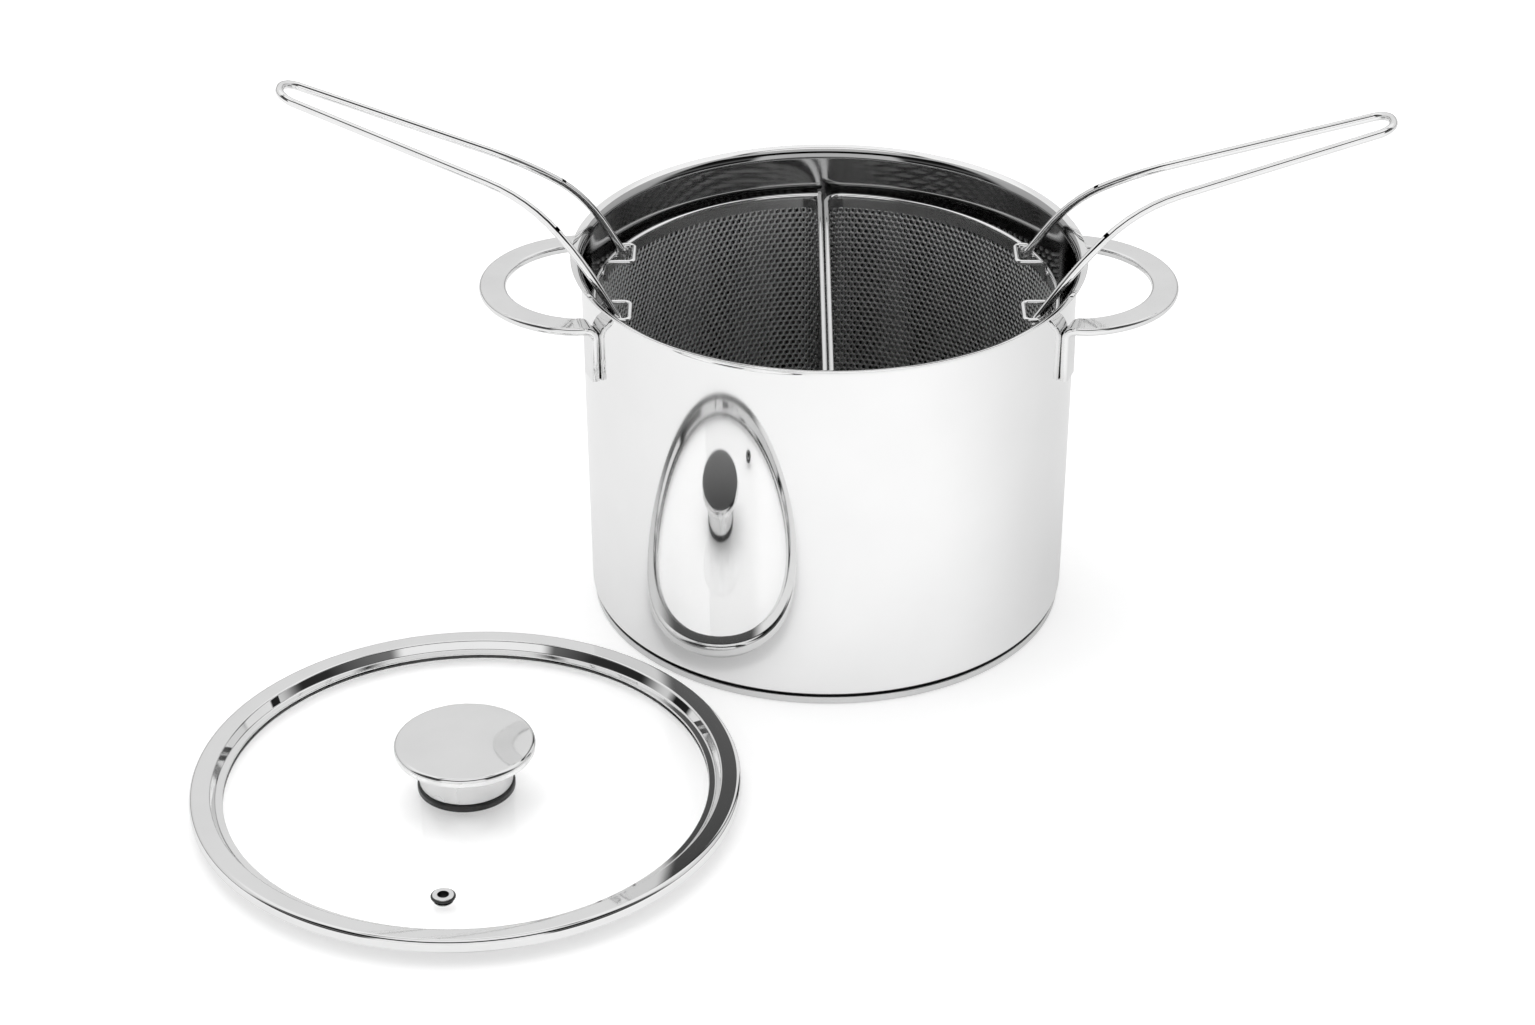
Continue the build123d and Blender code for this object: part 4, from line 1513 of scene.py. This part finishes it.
@dataclass
class Lid:
    """Glass lid with its rolled rim, vent and knob, lying by the pot, in millimetres.

    Heights count from the table. Every piece but the glass is a section turned about an axis.
    """

    centre: tuple[float, float] = LID_CENTRE
    # Rim: skirt, flange with its rolled-down lip, slope, and the ledges over and under the glass
    sheet: float = 0.8
    outer: float = 126.5
    skirt: float = 117.0
    skirt_drop: float = 3.2
    ledge: float = 111.3
    slope_foot: float = 114.6
    glass_foot: float = 4.0
    glass_top: float = 8.0
    flange_top: float = 13.0
    lip_drop: float = 5.6
    # Bends of the lip, the flange's inner edge, the slope's foot and the folds, then of edges that
    # are rolled, broken or cut
    lip_bend: float = 2.4
    flange_bend: float = 1.2
    slope_bend: float = 1.0
    fold_bend: float = 0.8
    rolled_edge: float = 0.35
    broken_edge: float = 0.3
    cut_edge: float = 0.2
    crimped_edge: float = 0.1
    # Vent: its place from the lid's axis, the tube, its flange above, its crimp below and its ring
    vent: tuple[float, float] = (-4.0, -86.7)
    vent_bore: float = 2.5
    vent_wall: float = 0.6
    vent_flange: float = 4.85
    vent_crimp: float = 4.4
    vent_ring: float = 5.6
    vent_ring_thickness: float = 0.8
    # Depth into the tube's wall up to which its bore is painted dark as shade
    bore_shade_depth: float = 0.15
    # Knob: a faintly crowned cap on a drum, its ring, and the threaded boss inside
    cap_radius: float = 32.4
    cap_foot: float = 27.7
    cap_top: float = 32.7
    cap_crown: float = 0.5
    cap_bends: tuple[float, float] = (1.0, 1.9)
    stem_radius: float = 21.5
    stem_wall: float = 1.2
    stem_bend: float = 0.5
    gasket_radius: float = 22.5
    gasket_top: float = 11.3
    gasket_bend: float = 1.1
    boss_radius: float = 6.0
    # Screw with its head, and radius and thickness of the soft and the flat washer on it
    screw_radius: float = 2.5
    screw_reach: float = 9.0
    head_radius: float = 5.5
    head_height: float = 2.0
    head_bend: float = 0.6
    point_bend: float = 0.4
    soft_washer: tuple[float, float] = (10.0, 1.0)
    flat_washer: tuple[float, float] = (8.0, 0.8)
    # Steps round the wide pieces and the narrow ones
    segments: int = 256
    narrow_segments: int = 96

    # Largest turn between two points of a bend, and points from the cap's edge to its middle
    STEP_DEGREES = 12
    CROWN_POINTS = 12

    def turned_piece(
        self,
        name: str,
        node: str,
        slot: str,
        finish: Finish,
        outline: list[tuple[float, float, float]],
        centre: tuple[float, float] = (0.0, 0.0),
        bore: float = 0.0,
    ) -> None:
        """Make a turned piece of the lid.

        Args:
            name: name of the piece.
            node: node that it stands for.
            slot: material slot of the record.
            finish: its finish.
            outline: radius, height and bend of each corner of its closed section, anticlockwise.
            centre: its axis, from the lid's.
            bore: radius up to which its inside is painted dark as the shade down its bore.
        """
        section = np.array(outline)
        profile = rounded(section[:, :2], section[:, 2], True, self.STEP_DEGREES)
        segments = self.segments if profile[:, 0].max() > self.gasket_radius else self.narrow_segments
        place = (self.centre[0] + centre[0], self.centre[1] + centre[1], 0)
        surface = revolve(profile, segments, closed=True).moved(place)
        widest = np.maximum(profile[:, 0], np.roll(profile[:, 0], -1))
        # Faces of the bore are painted dark as shade
        shaded_bore = np.repeat(widest <= bore, segments)
        finishes = (finish, Finish.BORE_SHADE) if shaded_bore.any() else (finish,)
        Piece(name, "lid", (node,), slot, finishes).make(surface, second=shaded_bore)

    def build(self) -> None:
        """Make the glass, the rim, the vent and the knob."""
        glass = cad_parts["lid_glass"]
        glass.data.materials.clear()
        glass.data.materials.append(Finish.GLASS.material)
        self.build_rim()
        self.build_vent()
        self.build_knob()
        self.build_clamp()

    def build_rim(self) -> None:
        """Rim: skirt, flange with a rolled-down lip, sloping wall and the two ledges on the glass."""
        inner, neck = self.skirt - self.sheet, self.outer - self.sheet
        under, lip = self.flange_top - self.sheet, self.flange_top - self.lip_drop
        ledge_top = self.glass_top + self.sheet
        outline = [
            (inner, 0, self.broken_edge),
            (self.skirt, 0, self.broken_edge),
            (self.skirt, under, self.fold_bend),
            (neck, under, self.fold_bend),
            (neck, lip, self.cut_edge),
            (self.outer, lip, self.broken_edge),
            (self.outer, self.flange_top, self.lip_bend),
            (self.skirt, self.flange_top, self.flange_bend),
            (self.slope_foot, ledge_top, self.slope_bend),
            (self.ledge, ledge_top, self.rolled_edge),
            (self.ledge, self.glass_top, self.cut_edge),
            (inner, self.glass_top, 0),
            (inner, self.glass_foot, 0),
            (self.ledge, self.glass_foot, self.cut_edge),
            (self.ledge, self.skirt_drop, self.cut_edge),
            (inner, self.skirt_drop, 0),
        ]
        self.turned_piece("lid_rolled_rim", "lid_rim", "lid_steel", Finish.LID_STEEL, outline)

    def build_vent(self) -> None:
        """Vent: a crimped tube with a rolled flange on a black ring."""
        bore, hole = self.vent_bore, self.vent_bore + self.vent_wall
        foot, crimp_foot, low = self.glass_foot, self.glass_foot - self.vent_wall, self.glass_top
        ring_top = low + self.vent_ring_thickness
        top = ring_top + self.vent_wall
        tube = [
            (bore, crimp_foot, self.cut_edge),
            (self.vent_crimp, crimp_foot, self.cut_edge),
            (self.vent_crimp, foot, self.crimped_edge),
            (hole, foot, 0),
            (hole, ring_top, 0),
            (self.vent_flange, ring_top, self.cut_edge),
            (self.vent_flange, top, self.rolled_edge),
            (bore, top, self.broken_edge),
        ]
        self.turned_piece(
            "vent_tube", "vent_grommet", "lid_steel", Finish.LID_STEEL, tube, self.vent, bore + self.bore_shade_depth
        )
        edge = self.vent_ring
        ring = [(hole, low, 0), (edge, low, self.crimped_edge), (edge, ring_top, self.broken_edge)]
        ring += [(hole, ring_top, 0)]
        self.turned_piece("vent_ring", "vent_gasket", "black_seal", Finish.SILICONE, ring, self.vent)

    def build_knob(self) -> None:
        """Knob: a cap on a drum, its black ring and the boss that the screw goes into.

        The cap's height is its top less the crown times (radius / cap_radius) squared.
        """
        wide, low, top, seat = self.cap_radius, self.cap_foot, self.cap_top, self.gasket_top
        radii = np.linspace(wide, 0, self.CROWN_POINTS)[1:]
        cap = [(0, low, 0), (wide, low, self.cap_bends[0]), (wide, top - self.cap_crown, self.cap_bends[1])]
        cap += [(radius, top - self.cap_crown * (radius / wide) ** 2, 0) for radius in radii]
        self.turned_piece("knob_disc", "knob_cap", "knob_steel", Finish.KNOB_STEEL, cap)
        stem, bore = self.stem_radius, self.stem_radius - self.stem_wall
        drum = [(bore, seat, 0), (stem, seat, self.stem_bend), (stem, low, self.cut_edge), (bore, low, 0)]
        self.turned_piece("knob_drum", "knob_stem", "knob_steel", Finish.DRUM_STEEL, drum)
        hole, edge, foot, boss = self.screw_radius, self.gasket_radius, self.glass_top, self.boss_radius
        soft = self.broken_edge
        ring = [(hole, foot, 0), (edge, foot, soft), (edge, seat, self.gasket_bend), (hole, seat, 0)]
        self.turned_piece("knob_ring", "knob_gasket", "black_seal", Finish.SILICONE, ring)
        sleeve = [(hole, seat, 0), (boss, seat, soft), (boss, low, soft), (hole, low, 0)]
        self.turned_piece("knob_sleeve", "knob_boss", "knob_steel", Finish.KNOB_STEEL, sleeve)

    def build_clamp(self) -> None:
        """Clamp: the two washers under the glass and the screw that goes up through them."""
        hole, top, cut = self.screw_radius, self.glass_foot, self.cut_edge
        for name, node, slot, finish, (radius, thickness) in (
            ("soft_washer", "glass_washer", "black_seal", Finish.SILICONE, self.soft_washer),
            ("flat_washer", "screw_washer", "lid_steel", Finish.LID_STEEL, self.flat_washer),
        ):
            foot = top - thickness
            ring = [(hole, foot, 0), (radius, foot, cut), (radius, top, cut), (hole, top, 0)]
            self.turned_piece(name, node, slot, finish, ring)
            top = foot
        foot, end, head = top - self.head_height, self.gasket_top + self.screw_reach, self.head_radius
        screw = [(0, foot, 0), (head, foot, self.head_bend), (head, top, cut)]
        screw += [(hole, top, 0), (hole, end, self.point_bend), (0, end, 0)]
        self.turned_piece("clamp_screw", "knob_screw", "lid_steel", Finish.LID_STEEL, screw)


# Studio


@dataclass(frozen=True)
class Softbox:
    """Square lamp over the table: its name, place, size in metres and power in watts."""

    name: str
    place: tuple[float, float, float]
    size: float
    power: float


@dataclass
class Studio:
    """Pale sweep, soft lamps and the camera that took the photograph, in metres.

    The rooms that the steel shows are ramps of greys, as stops of place and sRGB hex.
    """

    # Camera: the photograph's width and focal length in pixels, and the solved place and pitch
    image_width: int = 1535
    focal_pixels: float = 3577.0
    sensor: float = 36.0
    camera_place: tuple[float, float, float] = (-0.0297, -1.5566, 0.9407)
    camera_pitch: float = 0.525
    sight: float = 50.0
    # Floor: its size, its paper, the light that it gives back, and its ramp round the pot
    floor_size: float = 12.0
    floor_colour: str = "D6D6D6"
    floor_roughness: float = 0.9
    floor_sheen: float = 0.1
    floor_lift: float = 0.5
    floor_stops: tuple[tuple[float, str], ...] = (
        (0.0, "9C9C9C"), (0.2, "BABABA"), (0.44, "DEDEDE"), (0.6, "F8F8F8"), (0.72, "B0B0B0"),
        (0.85, "8A8A8A"), (1.0, "9C9C9C"),
    )
    # Room: its soft light, shares of half a turn between which one sector gives way to the next,
    # and the sectors' ramps, from below to straight up
    soft_light: str = "CCCCCC"
    front_edge: tuple[float, float] = (0.17, 0.21)
    far_edge: tuple[float, float] = (0.44, 0.52)
    front_stops: tuple[tuple[float, str], ...] = (
        (0.0, "F0F0F0"), (0.1, "FFFFFF"), (0.62, "FFFFFF"), (0.65, "101010"), (0.87, "0A0A0A"),
        (0.9, "FFFFFF"), (1.0, "FFFFFF"),
    )
    side_stops: tuple[tuple[float, str], ...] = (
        (0.0, "F0F0F0"), (0.08, "F0F0F0"), (0.12, "1E1E1E"), (0.36, "303030"), (0.46, "848484"),
        (0.56, "565656"), (0.62, "2A2A2A"), (0.86, "0C0C0C"), (0.9, "FFFFFF"), (1.0, "FFFFFF"),
    )
    far_side_stops: tuple[tuple[float, str], ...] = (
        (0.0, "F0F0F0"), (0.05, "ECECEC"), (0.07, "242424"), (0.13, "202020"), (0.16, "D8D8D8"),
        (0.45, "EAEAEA"), (0.68, "EEEEEE"), (0.74, "FFFFFF"), (0.93, "FFFFFF"), (0.95, "303030"),
        (0.97, "FFFFFF"), (1.0, "FFFFFF"),
    )
    # Lamps, which all face one point over the table
    aim: tuple[float, float, float] = (0.0, 0.0, 0.1)
    lamps: tuple[Softbox, ...] = (
        Softbox("top_softbox", (-0.3, 0.5, 2.4), 2.2, 26.0),
        Softbox("left_softbox", (-2.2, -0.6, 1.5), 1.4, 9.0),
        Softbox("right_softbox", (2.2, -0.2, 1.6), 1.4, 7.0),
    )

    def build(self) -> None:
        """Make the floor, the world, the lamps and the camera."""
        self.build_floor()
        self.build_world()
        for lamp in self.lamps:
            self.build_lamp(lamp)
        self.build_camera()
        bpy.context.scene.view_settings.view_transform = "Standard"

    def build_floor(self) -> None:
        """Floor: a pale sheet that catches shadows and shows white to the camera and in the steel."""
        half = self.floor_size / 2
        mesh = bpy.data.meshes.new("studio_floor")
        corners = [(-half, -half, 0), (half, -half, 0), (half, half, 0), (-half, half, 0)]
        mesh.from_pydata(corners, [], [(0, 1, 2, 3)])
        material, tree, shader = new_material("studio_sweep_paper")
        shader.inputs["Base Color"].default_value = linear(self.floor_colour)
        shader.inputs["Roughness"].default_value = self.floor_roughness
        shader.inputs["Specular IOR Level"].default_value = self.floor_sheen
        path = add_node(tree, "LightPath")
        seen = self.larger(tree, path.outputs["Is Camera Ray"], path.outputs["Is Transmission Ray"])
        seen = self.larger(tree, seen, path.outputs["Is Glossy Ray"])
        # The depth counts whole reflections, so half of one parts none from one
        in_steel = add_node(tree, "Math", {0: path.outputs["Glossy Depth"], 1: 0.5}, operation="GREATER_THAN")
        colour = mixed_colour(tree, in_steel.outputs["Value"], WHITE, self.floor_round_pot(tree))
        tree.links.new(colour, shader.inputs["Emission Color"])
        lift = add_node(tree, "Math", {0: seen, 1: self.floor_lift}, operation="MULTIPLY")
        tree.links.new(lift.outputs["Value"], shader.inputs["Emission Strength"])
        mesh.materials.append(material)
        floor = bpy.data.objects.new("studio_floor", mesh)
        bpy.context.scene.collection.objects.link(floor)

    def floor_round_pot(self, tree: bpy.types.NodeTree) -> bpy.types.NodeSocket:
        """Brightness of the floor as the steel shows it, by the direction from the pot.

        The share of a turn is 0.5 + atan2(x, -y) / 2 pi: 0.5 towards the camera, 0.75 to the right.

        Args:
            tree: the floor's tree.

        Returns:
            The output with the colour.
        """
        place = add_node(tree, "TexCoord").outputs["Object"]
        part = add_node(tree, "SeparateXYZ", {"Vector": place})
        span = {"From Min": -math.pi, "From Max": math.pi}
        turn = add_node(tree, "MapRange", {"Value": self.bearing(tree, part), **span})
        return self.ramp(tree, turn.outputs["Result"], self.floor_stops, "B_SPLINE")

    @staticmethod
    def bearing(tree: bpy.types.NodeTree, part: bpy.types.Node) -> bpy.types.NodeSocket:
        """Add nodes for the angle round the pot, atan2(x, -y): 0 towards the camera, to the right above 0.

        Args:
            tree: the tree.
            part: node with the direction's x, y and z.

        Returns:
            The output with the angle.
        """
        nearer = add_node(tree, "Math", {0: part.outputs["Y"], 1: -1.0}, operation="MULTIPLY")
        sides = {0: part.outputs["X"], 1: nearer.outputs["Value"]}
        angle = add_node(tree, "Math", sides, operation="ARCTAN2")
        return angle.outputs["Value"]

    @staticmethod
    def larger(
        tree: bpy.types.NodeTree, first: bpy.types.NodeSocket, second: bpy.types.NodeSocket
    ) -> bpy.types.NodeSocket:
        """Add a node that gives the larger of two values."""
        return add_node(tree, "Math", {0: first, 1: second}, operation="MAXIMUM").outputs["Value"]

    @staticmethod
    def ramp(
        tree: bpy.types.NodeTree,
        value: bpy.types.NodeSocket,
        stops: tuple[tuple[float, str], ...],
        course: str = "LINEAR",
    ) -> bpy.types.NodeSocket:
        """Add a colour ramp.

        Args:
            tree: the tree.
            value: what it reads.
            stops: place and sRGB hex of each stop, in order.
            course: how it runs between them.

        Returns:
            The output with the colour.
        """
        node = add_node(tree, "ValToRGB", {"Fac": value})
        node.color_ramp.interpolation = course
        elements = node.color_ramp.elements
        for element, (place, code) in zip((elements[0], elements[1]), (stops[0], stops[-1])):
            element.position, element.color = place, linear(code)
        for place, code in stops[1:-1]:
            elements.new(place).color = linear(code)
        return node.outputs["Color"]

    def build_world(self) -> None:
        """World: white to the camera, and to the steel a room that is white behind the camera, dark
        to both sides, pale behind the pot and white overhead.

        Each ramp runs over the height of the direction, which is the sine of its elevation. They
        change with the share of half a turn away from the camera, abs(atan2(x, -y)) / pi.
        """
        world = bpy.data.worlds.new("studio_room")
        bpy.context.scene.world = world
        world.use_nodes = True
        tree = world.node_tree
        shader = tree.nodes["Background"]
        part = add_node(tree, "SeparateXYZ", {"Vector": add_node(tree, "TexCoord").outputs["Generated"]})
        height = part.outputs["Z"]
        away = add_node(tree, "Math", {0: self.bearing(tree, part)}, operation="ABSOLUTE").outputs["Value"]
        sectors = (self.front_stops, self.side_stops, self.far_side_stops)
        columns = [self.ramp(tree, height, stops) for stops in sectors]
        room = columns[0]
        for edge, column in zip((self.front_edge, self.far_edge), columns[1:]):
            span = {"From Min": edge[0] * math.pi, "From Max": edge[1] * math.pi}
            share = add_node(tree, "MapRange", {"Value": away, **span}, interpolation_type="SMOOTHSTEP")
            room = mixed_colour(tree, share.outputs["Result"], room, column)
        path = add_node(tree, "LightPath")
        seen = self.larger(tree, path.outputs["Is Camera Ray"], path.outputs["Is Transmission Ray"])
        plain = mixed_colour(tree, path.outputs["Is Glossy Ray"], linear(self.soft_light), room)
        tree.links.new(mixed_colour(tree, seen, plain, WHITE), shader.inputs["Color"])

    def build_lamp(self, lamp: Softbox) -> None:
        """Make a square lamp that faces the table, and that the steel doesn't show.

        Its tilt is the angle between its way to the aim and straight down, and its heading is that
        way's angle seen from above.

        Args:
            lamp: the softbox.
        """
        data = bpy.data.lights.new(lamp.name, "AREA")
        data.size, data.energy = lamp.size, lamp.power
        made = bpy.data.objects.new(lamp.name, data)
        way = np.array(self.aim) - lamp.place
        tilt, heading = math.acos(-way[2] / np.linalg.norm(way)), math.atan2(way[1], way[0])
        made.location = lamp.place
        made.rotation_euler = (tilt, 0, heading + 3 * math.pi / 2)
        made.visible_glossy = False
        bpy.context.scene.collection.objects.link(made)

    def build_camera(self) -> None:
        """Make the camera at the photograph's place, pitch and focal length."""
        data = bpy.data.cameras.new("camera")
        data.sensor_width = self.sensor
        data.lens = self.focal_pixels * self.sensor / self.image_width
        data.clip_end = self.sight
        camera = bpy.data.objects.new("camera", data)
        camera.location = self.camera_place
        camera.rotation_euler = (math.pi / 2 - self.camera_pitch, 0, 0)
        bpy.context.scene.collection.objects.link(camera)
        bpy.context.scene.camera = camera


def main() -> None:
    """Build the pot, its baskets, its lid and the studio."""
    logging.basicConfig(level=logging.INFO, format="%(name)s %(message)s")
    Pot().build()
    Basket(Side.RIGHT, lean_degrees=55.37).build()
    Basket(Side.LEFT, lean_degrees=61.14).build()
    Lid().build()
    Studio().build()
    bpy.context.view_layer.update()


if __name__ == "__main__":
    main()
